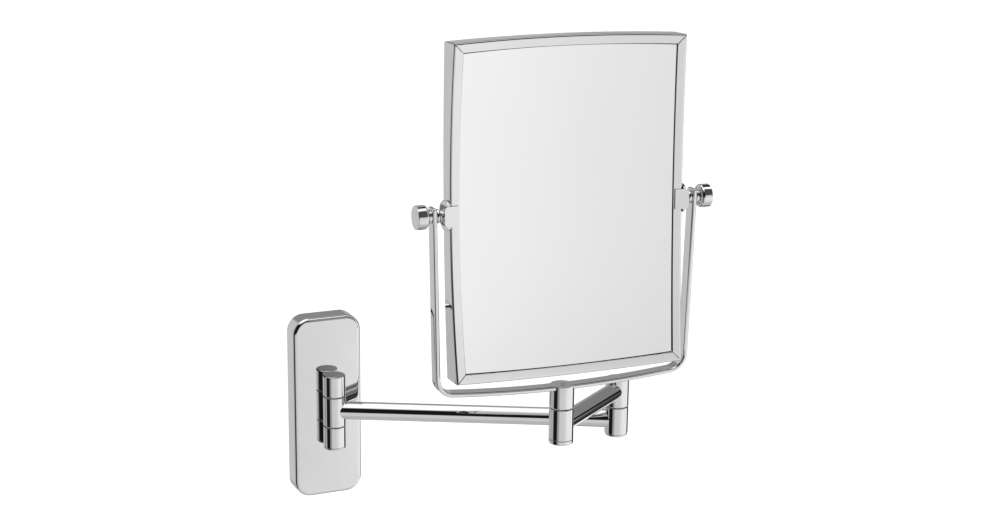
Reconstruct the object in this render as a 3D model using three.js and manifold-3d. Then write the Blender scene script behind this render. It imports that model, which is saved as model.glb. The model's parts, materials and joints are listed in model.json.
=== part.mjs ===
// Wall-mounted shaving mirror on a folding two-arm bracket, all in millimetres.
// Origin: centre of the wall plate's back. +Y into the wall, -Y into the room, +X right, +Z up.
import * as THREE from 'three';
import { mergeVertices } from 'three/addons/utils/BufferGeometryUtils.js';
import Module from 'manifold-3d';

const wasm = await Module();
wasm.setup();

// Clearances
const CLEAR = 0.3;              // between two pieces that sit on or in each other
const SPLIT = 0.9;              // open height between two knuckles of a hinge
const PAST = 1;                 // a cut runs this far past the face that it opens

// Wall plate: a hollow pressed cover, open at the back
const PLATE_WIDTH = 47;
const PLATE_HEIGHT = 125;
const PLATE_DEPTH = 15;
const PLATE_CORNER = 11;
const PLATE_EDGE = 2.5;
const PLATE_WALL = 2;
const SHEET = 1.5;              // steel sheet of the bracket and of the backing plate
const BRACKET_WIDTH = 24;
const BRACKET_LIP = 8;
const BRACKET_HOLE_R = 2.6;
const BRACKET_HOLE_Z = 42;
const BACKING_WIDTH = 22;
const BACKING_HEIGHT = 66;
const BACKING_CORNER = 3;
const GRUB_R = 2;
const GRUB_LENGTH = 7;
const GRUB_SETBACK = 5;         // grub screw's axis in front of the wall
const KEY_R = 1.1;              // hexagon sockets of the screws
const GRUB_KEY_DEPTH = 2;

// Wall hinge: two fixed knuckles with the first arm's knuckle between them
const HINGE_X = 1.5;
const HINGE_STANDOFF = 8;       // hinge axis in front of the plate's face
const WALL_KNUCKLE_R = 7.5;
const FIXED_KNUCKLE_HEIGHT = 14.5;
const ARM_KNUCKLE_HEIGHT = 20.8;
const HINGE_CAP_HEIGHT = 1.5;
const FOOT_R = 3;
const SCREW_R = 1.7;            // M4, plain below the thread
const SCREW_HEAD_R = 3.4;
const SCREW_HEAD_HEIGHT = 2.2;
const SCREW_WASHER_R = 4.2;
const SCREW_WASHER_HEIGHT = 0.8;
const SCREW_GRIP = 4.5;         // length of screw inside the knuckle
const SCREW_KEY_DEPTH = 1.2;

// Hinge inner parts, the same at the wall, the elbow and the post
const PIN_R = 2.5;
const BUSH_WALL = 1;
const CROWN = 2.5;              // solid metal above a blind pin hole
const EDGE = 0.6;               // chamfer of turned ends
const CAP_PLUG = 2;
const WASHER_INSET = 0.7;       // hinge washer inside the knuckle's outline

// Arms
const FIRST_ARM_LENGTH = 188;   // wall hinge axis to elbow axis
const SECOND_ARM_LENGTH = 79;   // elbow axis to post axis
const ARM_RISE = 20;            // second arm's centre above the first arm's
const TUBE_R = 6;
const TUBE_WALL = 1;
const SPIGOT_LENGTH = 6;
const KNUCKLE_R = 7.75;
const ELBOW_LOWER_HEIGHT = 18.6;
const ELBOW_UPPER_ABOVE = 8.4; // top of the elbow above the second arm's centre
const ELBOW_CAP_HEIGHT = 1.8;
const POST_BELOW = 9.1;         // post knuckle below the second arm's centre
const POST_ABOVE = 11.4;
const POST_CAP_HEIGHT = 2.9;
const POST_FLOOR = 5;           // metal under the post's bush
const SOCKET_HEIGHT = 15;

// Yoke: a flat strip bent to a U, on edge around the mirror
const STRIP_THICKNESS = 2.8;
const STRIP_DEPTH = 9.5;
const STRIP_ROUND = 0.8;
const YOKE_BEND_R = 10.5;
const YOKE_SAG = 4.3;           // middle of the bottom bar below its ends
const YOKE_GAP = 7.8;           // mirror side to the yoke, at the pivots
const YOKE_DRAFT = 2.7;         // each arm leans out by this much from the bend to the pivot
const YOKE_TOP = 5.4;           // strip end above the pivot line
const YOKE_HEAD_R = 3.2;
const YOKE_HEAD_HEIGHT = 0.8;

// Mirror: rectangular frame, a concave glass in front and a plain glass behind
const MIRROR_WIDTH = 150;
const MIRROR_HEIGHT = 204;
const SIDE_BOW = 1.4;           // sides curve out by this much at their middle
const END_BOW = 2.1;            // top and bottom curve out by this much
const MIRROR_GAP = 9;           // mirror's lower edge above the yoke, at the middle
const DISH_R = 880;             // radius of the concave front
const FRAME_DEPTH = 17.5;       // at the corners
const PIVOT_FROM_BACK = 6.75;
const FRAME_FACE = 6;
const FRAME_WALL = 1.6;
const FRAME_LIP = 0.8;
const REAR_FACE = 5;
const GLASS_THICKNESS = 2.2;
const MITRE_GAP = 0.15;         // each side of the brazed mitre

// Pivots at the two sides of the mirror
const DISC_R = 9.25;
const DISC_THICKNESS = 1.7;
const TAB_HEIGHT = 12.5;
const TAB_LAP = 5.2;
const TAB_THICKNESS = 1.5;
const TAB_REACH = 1.8; // how far the front tab stands out past the disc
const STUD_FLANGE_R = 3.6;
const STUD_FLANGE = 0.8;
const COLLAR_R = 4.1;
const COLLAR_NECK_R = 3.4;
const COLLAR_NECK = 1.3;        // length of the neck, the rest is the bead
const YOKE_BUSH_WALL = 0.5;
const NECK_WASHER_R = 4.2;
const NECK_WASHER = 0.8;
const KNOB_R = 7.3;
const KNOB_LENGTH = 7.9;
const KNOB_NECK_R = 4.8;
const KNOB_CHAMFER = 2.3;
const KNOB_CROWN = 1.9;

// Rest position, in degrees
const FIRST_ARM_ANGLE = 27;     // out from the wall
const ELBOW_ANGLE = 116.7;      // second arm turned back over the first
const POST_ANGLE = 141.4;       // yoke turned to face the room
const MIRROR_TILT = 2.3;        // top of the mirror back toward the wall

// Facets
const FINE = 32;
const MEDIUM = 24;
const COARSE = 16;
const HEXAGON = 6;
const OUTLINE_STEPS = 10;
const BEVEL_STEPS = 3;
const BEND_STEPS = 6;
const BEAD_STEPS = 4;
const DISH_RINGS = 8;

// Worked-out places
const HINGE_Y = -PLATE_DEPTH - HINGE_STANDOFF;
const BORE_R = PIN_R + CLEAR;
const BUSH_SEAT_R = BORE_R + BUSH_WALL + CLEAR;
const SPIGOT_R = TUBE_R - TUBE_WALL - CLEAR;
const POST_SPLIT = ARM_RISE + POST_ABOVE;
const STRIP_TOP = POST_SPLIT + SOCKET_HEIGHT;
const PIVOT_Z = STRIP_TOP + MIRROR_GAP + MIRROR_HEIGHT / 2 + END_BOW;
const FRAME_BACK = -PIVOT_FROM_BACK;
const CORNER_REACH = Math.hypot(MIRROR_WIDTH, MIRROR_HEIGHT) / 2;
const DISH_POLE = FRAME_BACK + FRAME_DEPTH - sagitta(CORNER_REACH);
const FRAME_SIDE = MIRROR_WIDTH / 2 + SIDE_BOW;
const YOKE_INNER = FRAME_SIDE + YOKE_GAP;
const YOKE_OUTER = YOKE_INNER + STRIP_THICKNESS;
const DISC_OUTER = FRAME_SIDE + CLEAR + DISC_THICKNESS;
const KNOB_START = YOKE_OUTER + NECK_WASHER + 3 * CLEAR;
const GLASS_LEVEL = -FRAME_LIP - CLEAR;
const GLASS_INSET = FRAME_WALL + CLEAR;
const REAR_GLASS_BACK = FRAME_BACK + FRAME_LIP + CLEAR;
const REAR_GLASS_FRONT = REAR_GLASS_BACK + GLASS_THICKNESS;

const FINISHES = {
  chrome: { color: 0xd9dadb, roughness: 0.06, metalness: 1 },
  glass: { color: 0xf2f3f3, roughness: 0.01, metalness: 1 },
  steel: { color: 0x9c9fa3, roughness: 0.4, metalness: 1 },
  brass: { color: 0xb99a55, roughness: 0.35, metalness: 1 },
  nylon: { color: 0xe9e7df, roughness: 0.6, metalness: 0 },
  board: { color: 0x6f675c, roughness: 0.9, metalness: 0 },
};

// ---- geometry helpers ----

// Depth of the dish at a distance from its middle.
function sagitta(reach) {
  return DISH_R - Math.sqrt(DISH_R ** 2 - reach ** 2);
}

// A closed geometry as a solid with its faces outward.
function solid(geometry) {
  const bare = geometry.clone();
  bare.deleteAttribute('normal');
  bare.deleteAttribute('uv');
  const merged = mergeVertices(bare);
  const corners = merged.index.array;
  const faces = [];
  for (let i = 0; i < corners.length; i += 3) {
    const [a, b, c] = corners.slice(i, i + 3);
    if (a !== b && b !== c && c !== a) {
      faces.push(a, b, c);
    }
  }
  const vertProperties = merged.attributes.position.array;
  const outward = new wasm.Manifold(
    new wasm.Mesh({ numProp: 3, vertProperties, triVerts: new Uint32Array(faces) }),
  );
  if (outward.volume() > 0) {
    return outward;
  }
  const flipped = new Uint32Array(faces.reverse());
  return new wasm.Manifold(new wasm.Mesh({ numProp: 3, vertProperties, triVerts: flipped }));
}

// An upright round bar from one height to another.
function rod(radius, low, high, sides = FINE) {
  const geometry = new THREE.CylinderGeometry(radius, radius, high - low, sides);
  geometry.rotateX(Math.PI / 2);
  geometry.translate(0, 0, (low + high) / 2);
  return solid(geometry);
}

// A round bar lying along X.
function crossRod(radius, from, to, sides = MEDIUM) {
  const geometry = new THREE.CylinderGeometry(radius, radius, to - from, sides);
  geometry.rotateZ(Math.PI / 2);
  geometry.translate((from + to) / 2, 0, 0);
  return solid(geometry);
}

// A box between two corners.
function block(low, high) {
  const size = high.map((value, i) => value - low[i]);
  const geometry = new THREE.BoxGeometry(...size);
  geometry.translate(...low.map((value, i) => value + size[i] / 2));
  return solid(geometry);
}

// A profile of [radius, height] points turned about the upright axis.
function turned(profile, sides = FINE) {
  const geometry = new THREE.LatheGeometry(profile.map(([r, h]) => new THREE.Vector2(r, h)), sides);
  geometry.rotateX(Math.PI / 2);
  return solid(geometry);
}

// The same profile turned about the X axis, its heights becoming distances along X.
function crossTurned(profile, sides = MEDIUM) {
  return turned(profile, sides).rotate([0, 90, 0]);
}

// A ring between two radii and two heights.
function ringProfile(inner, outer, low, high) {
  return [[inner, low], [outer, low], [outer, high], [inner, high], [inner, low]];
}

// A turned bar with a chamfer at either end, left out where it is zero.
function barProfile(radius, low, high, lowChamfer, highChamfer) {
  const foot = lowChamfer ? [[radius - lowChamfer, low], [radius, low + lowChamfer]] : [[radius, low]];
  const head = highChamfer ? [[radius, high - highChamfer], [radius - highChamfer, high]] : [[radius, high]];
  return [[0, low], ...foot, ...head, [0, high]];
}

// An outline drawn in X and Z, made solid from one distance out of the wall to another.
function standing(shape, from, to, bevel = 0) {
  const geometry = new THREE.ExtrudeGeometry(shape, {
    depth: to - from - 2 * bevel,
    curveSegments: OUTLINE_STEPS,
    bevelEnabled: bevel > 0,
    bevelThickness: bevel,
    bevelSize: bevel,
    bevelOffset: -bevel,
    bevelSegments: BEVEL_STEPS,
  });
  geometry.translate(0, 0, from + bevel);
  geometry.rotateX(Math.PI / 2);
  return solid(geometry);
}

function roundedRectangle(width, height, radius) {
  const a = width / 2;
  const b = height / 2;
  const shape = new THREE.Shape();
  shape.moveTo(-a + radius, -b);
  shape.lineTo(a - radius, -b);
  shape.absarc(a - radius, -b + radius, radius, -Math.PI / 2, 0);
  shape.lineTo(a, b - radius);
  shape.absarc(a - radius, b - radius, radius, 0, Math.PI / 2);
  shape.lineTo(-a + radius, b);
  shape.absarc(-a + radius, b - radius, radius, Math.PI / 2, Math.PI);
  shape.lineTo(-a, -b + radius);
  shape.absarc(-a + radius, -b + radius, radius, Math.PI, 1.5 * Math.PI);
  return shape;
}

// A solid as a named mesh in its group.
function add(group, name, part, finish) {
  const { vertProperties, triVerts } = part.getMesh();
  const geometry = new THREE.BufferGeometry();
  geometry.setAttribute('position', new THREE.BufferAttribute(vertProperties, 3));
  geometry.setIndex(new THREE.BufferAttribute(triVerts, 1));
  geometry.computeVertexNormals();
  const mesh = new THREE.Mesh(geometry, new THREE.MeshStandardMaterial(FINISHES[finish]));
  mesh.name = name;
  group.add(mesh);
}

// ---- wall plate ----

function footHeights() {
  const centre = ARM_KNUCKLE_HEIGHT / 2 + FIXED_KNUCKLE_HEIGHT / 2;
  return { lower: -centre, upper: centre };
}

function alongWall(part, x, z) {
  return part.rotate([90, 0, 0]).translate([x, 0, z]);
}

// The upright hole of the grub screw, through the plate's lower edge and the bracket's lip.
function grubHole() {
  return rod(GRUB_R + CLEAR, -PLATE_HEIGHT, 0, COARSE).translate([0, -GRUB_SETBACK, 0]);
}

function wallPlate() {
  const outside = roundedRectangle(PLATE_WIDTH, PLATE_HEIGHT, PLATE_CORNER);
  const inside = roundedRectangle(
    PLATE_WIDTH - 2 * PLATE_WALL, PLATE_HEIGHT - 2 * PLATE_WALL, PLATE_CORNER - PLATE_WALL,
  );
  const reach = PLATE_WIDTH;
  let cover = standing(outside, -2 * PLATE_EDGE, PLATE_DEPTH, PLATE_EDGE);
  cover = cover.subtract(block([-reach, 0, -PLATE_HEIGHT], [reach, reach, PLATE_HEIGHT]));
  cover = cover.subtract(standing(inside, -PAST, PLATE_DEPTH - PLATE_WALL));
  for (const z of Object.values(footHeights())) {
    cover = cover.subtract(alongWall(rod(FOOT_R + CLEAR, 0, 2 * PLATE_DEPTH, COARSE), HINGE_X, z));
  }
  return cover.subtract(grubHole());
}

function backingPlate() {
  const front = PLATE_DEPTH - PLATE_WALL - CLEAR;
  const outline = roundedRectangle(BACKING_WIDTH, BACKING_HEIGHT, BACKING_CORNER);
  let sheet = standing(outline, front - SHEET, front);
  for (const z of Object.values(footHeights())) {
    sheet = sheet.subtract(alongWall(rod(SCREW_R + CLEAR, 0, PLATE_DEPTH, COARSE), HINGE_X, z));
  }
  return sheet;
}

function wallBracket() {
  const halfHeight = PLATE_HEIGHT / 2 - PLATE_WALL - CLEAR;
  const halfWidth = BRACKET_WIDTH / 2;
  let bracket = block([-halfWidth, -SHEET, -halfHeight], [halfWidth, 0, halfHeight]);
  bracket = bracket.add(
    block([-halfWidth, -BRACKET_LIP, halfHeight - SHEET], [halfWidth, 0, halfHeight]),
  );
  bracket = bracket.add(
    block([-halfWidth, -BRACKET_LIP, -halfHeight], [halfWidth, 0, -halfHeight + SHEET]),
  );
  for (const z of [-BRACKET_HOLE_Z, BRACKET_HOLE_Z]) {
    bracket = bracket.subtract(alongWall(rod(BRACKET_HOLE_R, -PAST, SHEET + PAST, COARSE), 0, z));
  }
  return bracket.subtract(grubHole());
}

function plateGrubScrew() {
  const low = -PLATE_HEIGHT / 2 + CLEAR;
  const screw = turned(barProfile(GRUB_R, low, low + GRUB_LENGTH, 0, EDGE), COARSE);
  const key = rod(KEY_R, low - PAST, low + GRUB_KEY_DEPTH, HEXAGON);
  return screw.subtract(key).translate([0, -GRUB_SETBACK, 0]);
}

// ---- wall hinge ----

function knuckleFoot(z) {
  const footEnd = HINGE_STANDOFF + PLATE_WALL - CLEAR;
  const foot = rod(FOOT_R, 0, footEnd, COARSE).rotate([-90, 0, 0]);
  return foot.translate([0, 0, z]);
}

function screwHole(z) {
  const footEnd = HINGE_STANDOFF + PLATE_WALL;
  const hole = rod(SCREW_R + CLEAR, footEnd - SCREW_GRIP - CLEAR, footEnd + PAST, COARSE);
  return hole.rotate([-90, 0, 0]).translate([0, 0, z]);
}

function upperWallKnuckle() {
  const low = ARM_KNUCKLE_HEIGHT / 2 + SPLIT / 2;
  const high = ARM_KNUCKLE_HEIGHT / 2 + FIXED_KNUCKLE_HEIGHT;
  const z = footHeights().upper;
  let knuckle = turned(barProfile(WALL_KNUCKLE_R, low, high, 0, EDGE)).add(knuckleFoot(z));
  knuckle = knuckle.subtract(rod(BORE_R, low - PAST, high - CROWN, MEDIUM));
  return knuckle.subtract(screwHole(z));
}

function lowerWallKnuckle() {
  const high = -ARM_KNUCKLE_HEIGHT / 2 - SPLIT / 2;
  const low = -ARM_KNUCKLE_HEIGHT / 2 - FIXED_KNUCKLE_HEIGHT;
  const z = footHeights().lower;
  let knuckle = rod(WALL_KNUCKLE_R, low, high).add(knuckleFoot(z));
  knuckle = knuckle.subtract(rod(BORE_R, low - PAST, high + PAST, MEDIUM));
  return knuckle.subtract(screwHole(z));
}

// A turned cap under a knuckle, with a plug in the knuckle's bore.
function bottomCap(radius, top, height) {
  const low = top - height;
  const high = top - CLEAR;
  return turned([
    [0, low], [radius - EDGE, low], [radius, low + EDGE], [radius, high],
    [PIN_R, high], [PIN_R, top + CAP_PLUG], [0, top + CAP_PLUG],
  ]);
}

function hingePin(low, high) {
  return turned(barProfile(PIN_R, low, high, EDGE, EDGE), MEDIUM);
}

// A thin washer in the middle of a split.
function hingeWasher(radius, splitHeight) {
  const half = SPLIT / 2 - CLEAR;
  return turned(ringProfile(BORE_R, radius - WASHER_INSET, splitHeight - half, splitHeight + half));
}

function hingeBush(low, high) {
  return turned(ringProfile(BORE_R, BORE_R + BUSH_WALL, low, high), MEDIUM);
}

function knuckleScrew(z) {
  const tip = HINGE_STANDOFF + PLATE_WALL - SCREW_GRIP;
  const seat = HINGE_STANDOFF + PLATE_WALL + CLEAR + SHEET + SCREW_WASHER_HEIGHT + 2 * CLEAR;
  const headTop = seat + SCREW_HEAD_HEIGHT;
  const screw = turned([
    [0, tip], [SCREW_R, tip], [SCREW_R, seat], [SCREW_HEAD_R, seat],
    [SCREW_HEAD_R, headTop - EDGE], [SCREW_HEAD_R - EDGE, headTop], [0, headTop],
  ], COARSE);
  const socket = rod(KEY_R, headTop - SCREW_KEY_DEPTH, headTop + PAST, HEXAGON);
  return screw.subtract(socket).rotate([-90, 0, 0]).translate([0, 0, z]);
}

function screwWasher(z) {
  const low = HINGE_STANDOFF + PLATE_WALL + 2 * CLEAR + SHEET;
  const washer = turned(
    ringProfile(SCREW_R + CLEAR, SCREW_WASHER_R, low, low + SCREW_WASHER_HEIGHT), COARSE,
  );
  return washer.rotate([-90, 0, 0]).translate([0, 0, z]);
}

function buildWallMount() {
  const mount = new THREE.Group();
  add(mount, 'wall_plate', wallPlate(), 'chrome');
  add(mount, 'backing_plate', backingPlate(), 'steel');
  add(mount, 'wall_bracket', wallBracket(), 'steel');
  add(mount, 'plate_grub_screw', plateGrubScrew(), 'steel');

  const hinge = new THREE.Group();
  hinge.position.set(HINGE_X, HINGE_Y, 0);
  const lowest = -ARM_KNUCKLE_HEIGHT / 2 - FIXED_KNUCKLE_HEIGHT;
  const highest = ARM_KNUCKLE_HEIGHT / 2 + FIXED_KNUCKLE_HEIGHT;
  add(hinge, 'upper_wall_knuckle', upperWallKnuckle(), 'chrome');
  add(hinge, 'lower_wall_knuckle', lowerWallKnuckle(), 'chrome');
  add(hinge, 'wall_hinge_cap', bottomCap(WALL_KNUCKLE_R, lowest, HINGE_CAP_HEIGHT), 'chrome');
  add(hinge, 'wall_hinge_pin', hingePin(lowest + CAP_PLUG + CLEAR, highest - CROWN - CLEAR), 'steel');
  for (const [level, z] of Object.entries(footHeights())) {
    add(hinge, `${level}_knuckle_screw`, knuckleScrew(z), 'steel');
    add(hinge, `${level}_screw_washer`, screwWasher(z), 'steel');
    const split = Math.sign(z) * ARM_KNUCKLE_HEIGHT / 2;
    add(hinge, `${level}_hinge_washer`, hingeWasher(WALL_KNUCKLE_R, split), 'nylon');
  }
  mount.add(hinge);
  return mount;
}

// ---- arms ----

// An arm tube along X between two axes, its ends shaped to the knuckles.
function armTube(length, startRadius, endRadius, z) {
  let tube = crossRod(TUBE_R, 0, length).subtract(crossRod(TUBE_R - TUBE_WALL, -PAST, length + PAST));
  tube = tube.subtract(rod(startRadius + CLEAR, -2 * TUBE_R, 2 * TUBE_R));
  tube = tube.subtract(rod(endRadius + CLEAR, -2 * TUBE_R, 2 * TUBE_R).translate([length, 0, 0]));
  return tube.translate([0, 0, z]);
}

// A spigot from a knuckle's axis into its tube; side is +1 where the tube runs to +X.
function spigot(radius, side, z) {
  const end = radius + SPIGOT_LENGTH;
  return crossRod(SPIGOT_R, Math.min(0, side * end), Math.max(0, side * end)).translate([0, 0, z]);
}

// A knuckle with a through bore for the pin or a blind seat for the bush.
function armKnuckle(radius, low, high, side, z, bore, boreLow, boreHigh, topChamfer = 0) {
  const body = turned(barProfile(radius, low, high, 0, topChamfer));
  return body.add(spigot(radius, side, z)).subtract(rod(bore, boreLow, boreHigh, MEDIUM));
}

function buildFirstArm() {
  const arm = new THREE.Group();
  arm.position.set(HINGE_X, HINGE_Y, 0);
  arm.rotation.z = THREE.MathUtils.degToRad(-FIRST_ARM_ANGLE);
  const half = ARM_KNUCKLE_HEIGHT / 2 - SPLIT / 2;
  add(arm, 'first_arm_wall_knuckle',
    armKnuckle(WALL_KNUCKLE_R, -half, half, 1, 0, BUSH_SEAT_R, -half - PAST, half + PAST), 'chrome');
  add(arm, 'wall_hinge_bush', hingeBush(-half, half), 'brass');
  add(arm, 'first_arm_tube', armTube(FIRST_ARM_LENGTH, WALL_KNUCKLE_R, KNUCKLE_R, 0), 'chrome');

  const elbow = new THREE.Group();
  elbow.position.x = FIRST_ARM_LENGTH;
  const low = -ELBOW_LOWER_HEIGHT / 2;
  const split = ELBOW_LOWER_HEIGHT / 2;
  const pinTop = ARM_RISE + ELBOW_UPPER_ABOVE - CROWN - CLEAR;
  add(elbow, 'elbow_lower_knuckle',
    armKnuckle(KNUCKLE_R, low, split - SPLIT / 2, -1, 0, BORE_R, low - PAST, split), 'chrome');
  add(elbow, 'elbow_cap', bottomCap(KNUCKLE_R, low, ELBOW_CAP_HEIGHT), 'chrome');
  add(elbow, 'elbow_pin', hingePin(low + CAP_PLUG + CLEAR, pinTop), 'steel');
  add(elbow, 'elbow_washer', hingeWasher(KNUCKLE_R, split), 'nylon');
  arm.add(elbow);
  return { arm, elbow };
}

function buildSecondArm() {
  const arm = new THREE.Group();
  arm.rotation.z = THREE.MathUtils.degToRad(-ELBOW_ANGLE);
  const low = ELBOW_LOWER_HEIGHT / 2 + SPLIT / 2;
  const high = ARM_RISE + ELBOW_UPPER_ABOVE;
  add(arm, 'elbow_upper_knuckle',
    armKnuckle(KNUCKLE_R, low, high, 1, ARM_RISE, BUSH_SEAT_R, low - PAST, high - CROWN, EDGE), 'chrome');
  add(arm, 'elbow_bush', hingeBush(low, high - CROWN - CLEAR), 'brass');
  add(arm, 'second_arm_tube', armTube(SECOND_ARM_LENGTH, KNUCKLE_R, KNUCKLE_R, ARM_RISE), 'chrome');

  const post = new THREE.Group();
  post.position.x = SECOND_ARM_LENGTH;
  const bottom = ARM_RISE - POST_BELOW;
  const top = POST_SPLIT - SPLIT / 2;
  const seat = bottom + POST_FLOOR;
  add(post, 'post_knuckle',
    armKnuckle(KNUCKLE_R, bottom, top, -1, ARM_RISE, BUSH_SEAT_R, seat, top + PAST)
      .subtract(rod(BORE_R, bottom - PAST, top, MEDIUM)), 'chrome');
  add(post, 'post_cap', bottomCap(KNUCKLE_R, bottom, POST_CAP_HEIGHT), 'chrome');
  add(post, 'post_bush', hingeBush(seat + CLEAR, top), 'brass');
  add(post, 'post_washer', hingeWasher(KNUCKLE_R, POST_SPLIT), 'nylon');
  arm.add(post);
  return { arm, post };
}

// ---- yoke ----

// One edge of the bent strip, a distance out from its centre line, from the left end to the right.
// Each side is a leaning arm, a bend of YOKE_BEND_R and half of the sagging bottom bar.
function yokeEdge(offset) {
  const middle = STRIP_THICKNESS / 2;
  const armTop = YOKE_INNER + middle;
  const armFoot = armTop - YOKE_DRAFT;
  const footZ = STRIP_TOP;
  const lean = YOKE_DRAFT / (PIVOT_Z - footZ);
  const barR = (armFoot ** 2 + YOKE_SAG ** 2) / (2 * YOKE_SAG);
  const barZ = STRIP_TOP - middle + barR;
  const slope = Math.hypot(1, lean);
  // The bend's centre lies inside the arm by its radius and inside the bar's arc by its radius.
  const a = armFoot - lean * footZ - YOKE_BEND_R * slope;
  const b = (a * lean - barZ) / (1 + lean ** 2);
  const c = (a ** 2 + barZ ** 2 - (barR - YOKE_BEND_R) ** 2) / (1 + lean ** 2);
  const bendZ = -b - Math.sqrt(b ** 2 - c);
  const bendX = a + lean * bendZ;
  const start = Math.atan(-lean);
  const end = Math.atan2(bendZ - barZ, bendX);
  const right = [[armTop + lean * YOKE_TOP + offset * slope, PIVOT_Z + YOKE_TOP]];
  for (let i = 0; i <= BEND_STEPS; i += 1) {
    const turn = start + (end - start) * i / BEND_STEPS;
    const radius = YOKE_BEND_R + offset;
    right.push([bendX + radius * Math.cos(turn), bendZ + radius * Math.sin(turn)]);
  }
  for (let i = 1; i < BEND_STEPS; i += 1) {
    const turn = end + (-Math.PI / 2 - end) * i / BEND_STEPS;
    right.push([(barR + offset) * Math.cos(turn), barZ + (barR + offset) * Math.sin(turn)]);
  }
  const left = right.map(([x, z]) => [-x, z]);
  return [...left, [0, barZ - barR - offset], ...right.reverse()];
}

function yokeStrip() {
  const half = STRIP_THICKNESS / 2;
  const outline = [...yokeEdge(half), ...yokeEdge(-half).reverse()];
  const shape = new THREE.Shape(outline.map(([x, z]) => new THREE.Vector2(x, z)));
  let strip = standing(shape, -STRIP_DEPTH / 2, STRIP_DEPTH / 2, STRIP_ROUND);
  const tipR = STRIP_DEPTH / 2;
  const tipZ = PIVOT_Z + YOKE_TOP - tipR;
  const reach = YOKE_OUTER + STRIP_DEPTH;
  const above = block([-reach, -STRIP_DEPTH, tipZ], [reach, STRIP_DEPTH, tipZ + STRIP_DEPTH]);
  const tip = crossRod(tipR, -reach, reach).translate([0, 0, tipZ]);
  strip = strip.subtract(above.subtract(tip));
  const pivotHole = crossRod(BORE_R + YOKE_BUSH_WALL + CLEAR, -reach, reach);
  strip = strip.subtract(pivotHole.translate([0, 0, PIVOT_Z]));
  return strip.subtract(rod(BORE_R, 0, STRIP_TOP + PAST, MEDIUM));
}

function yokeSocket() {
  const low = POST_SPLIT + SPLIT / 2;
  const slotHalf = STRIP_DEPTH / 2 + CLEAR;
  const slotFloor = STRIP_TOP - STRIP_THICKNESS - CLEAR;
  const slot = block([-2 * KNUCKLE_R, -slotHalf, slotFloor], [2 * KNUCKLE_R, slotHalf, STRIP_TOP + PAST]);
  const socket = rod(KNUCKLE_R, low, STRIP_TOP).subtract(slot);
  return socket.subtract(rod(BORE_R, low - PAST, STRIP_TOP, MEDIUM));
}

function yokeScrew() {
  const low = ARM_RISE - POST_BELOW + CAP_PLUG + CLEAR;
  const seat = STRIP_TOP + CLEAR;
  const headTop = seat + YOKE_HEAD_HEIGHT;
  return turned([
    [0, low], [PIN_R - EDGE, low], [PIN_R, low + EDGE], [PIN_R, seat], [YOKE_HEAD_R, seat],
    [YOKE_HEAD_R, headTop - EDGE], [YOKE_HEAD_R - EDGE, headTop], [0, headTop],
  ], MEDIUM);
}

function yokeBush() {
  const from = YOKE_INNER - CLEAR;
  const to = YOKE_OUTER + CLEAR;
  return crossTurned(ringProfile(BORE_R, BORE_R + YOKE_BUSH_WALL, from, to));
}

// Turns a piece made for the right side to the left one.
function forSide(part, side) {
  return side === 'right' ? part : part.rotate([0, 180, 0]);
}

function buildYoke() {
  const yoke = new THREE.Group();
  yoke.rotation.z = THREE.MathUtils.degToRad(POST_ANGLE);
  add(yoke, 'yoke_strip', yokeStrip(), 'chrome');
  add(yoke, 'yoke_socket', yokeSocket(), 'chrome');
  add(yoke, 'yoke_screw', yokeScrew(), 'steel');
  for (const side of ['left', 'right']) {
    add(yoke, `${side}_yoke_bush`, forSide(yokeBush(), side).translate([0, 0, PIVOT_Z]), 'nylon');
  }
  return yoke;
}

// ---- mirror, about the middle of its pivot line ----

// The mirror's outline with bowed sides, a distance in from its edge.
function mirrorOutline(inset) {
  const a = MIRROR_WIDTH / 2 - inset;
  const b = MIRROR_HEIGHT / 2 - inset;
  const shape = new THREE.Shape();
  shape.moveTo(-a, -b);
  shape.quadraticCurveTo(0, -b - 2 * END_BOW, a, -b);
  shape.quadraticCurveTo(a + 2 * SIDE_BOW, 0, a, b);
  shape.quadraticCurveTo(0, b + 2 * END_BOW, -a, b);
  shape.quadraticCurveTo(-a - 2 * SIDE_BOW, 0, -a, -b);
  return shape;
}

// Everything in front of the dished face, moved forward by a level.
function beforeDish(level) {
  const reach = CORNER_REACH + FRAME_DEPTH;
  const profile = [];
  for (let i = 0; i <= DISH_RINGS; i += 1) {
    const r = reach * i / DISH_RINGS;
    profile.push([r, DISH_POLE + level + sagitta(r)]);
  }
  const front = 3 * FRAME_DEPTH;
  return turned([...profile, [reach, front], [0, front]]).rotate([90, 0, 0]);
}

function frameRing() {
  const front = 2 * FRAME_DEPTH;
  const body = standing(mirrorOutline(0), FRAME_BACK, front).subtract(beforeDish(0));
  const pocket = standing(mirrorOutline(FRAME_WALL), FRAME_BACK + FRAME_LIP, front);
  const frontWindow = standing(mirrorOutline(FRAME_FACE), 0, front);
  const rearWindow = standing(mirrorOutline(REAR_FACE), FRAME_BACK - PAST, 0);
  return body.subtract(pocket.subtract(beforeDish(-FRAME_LIP))).subtract(frontWindow).subtract(rearWindow);
}

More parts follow.
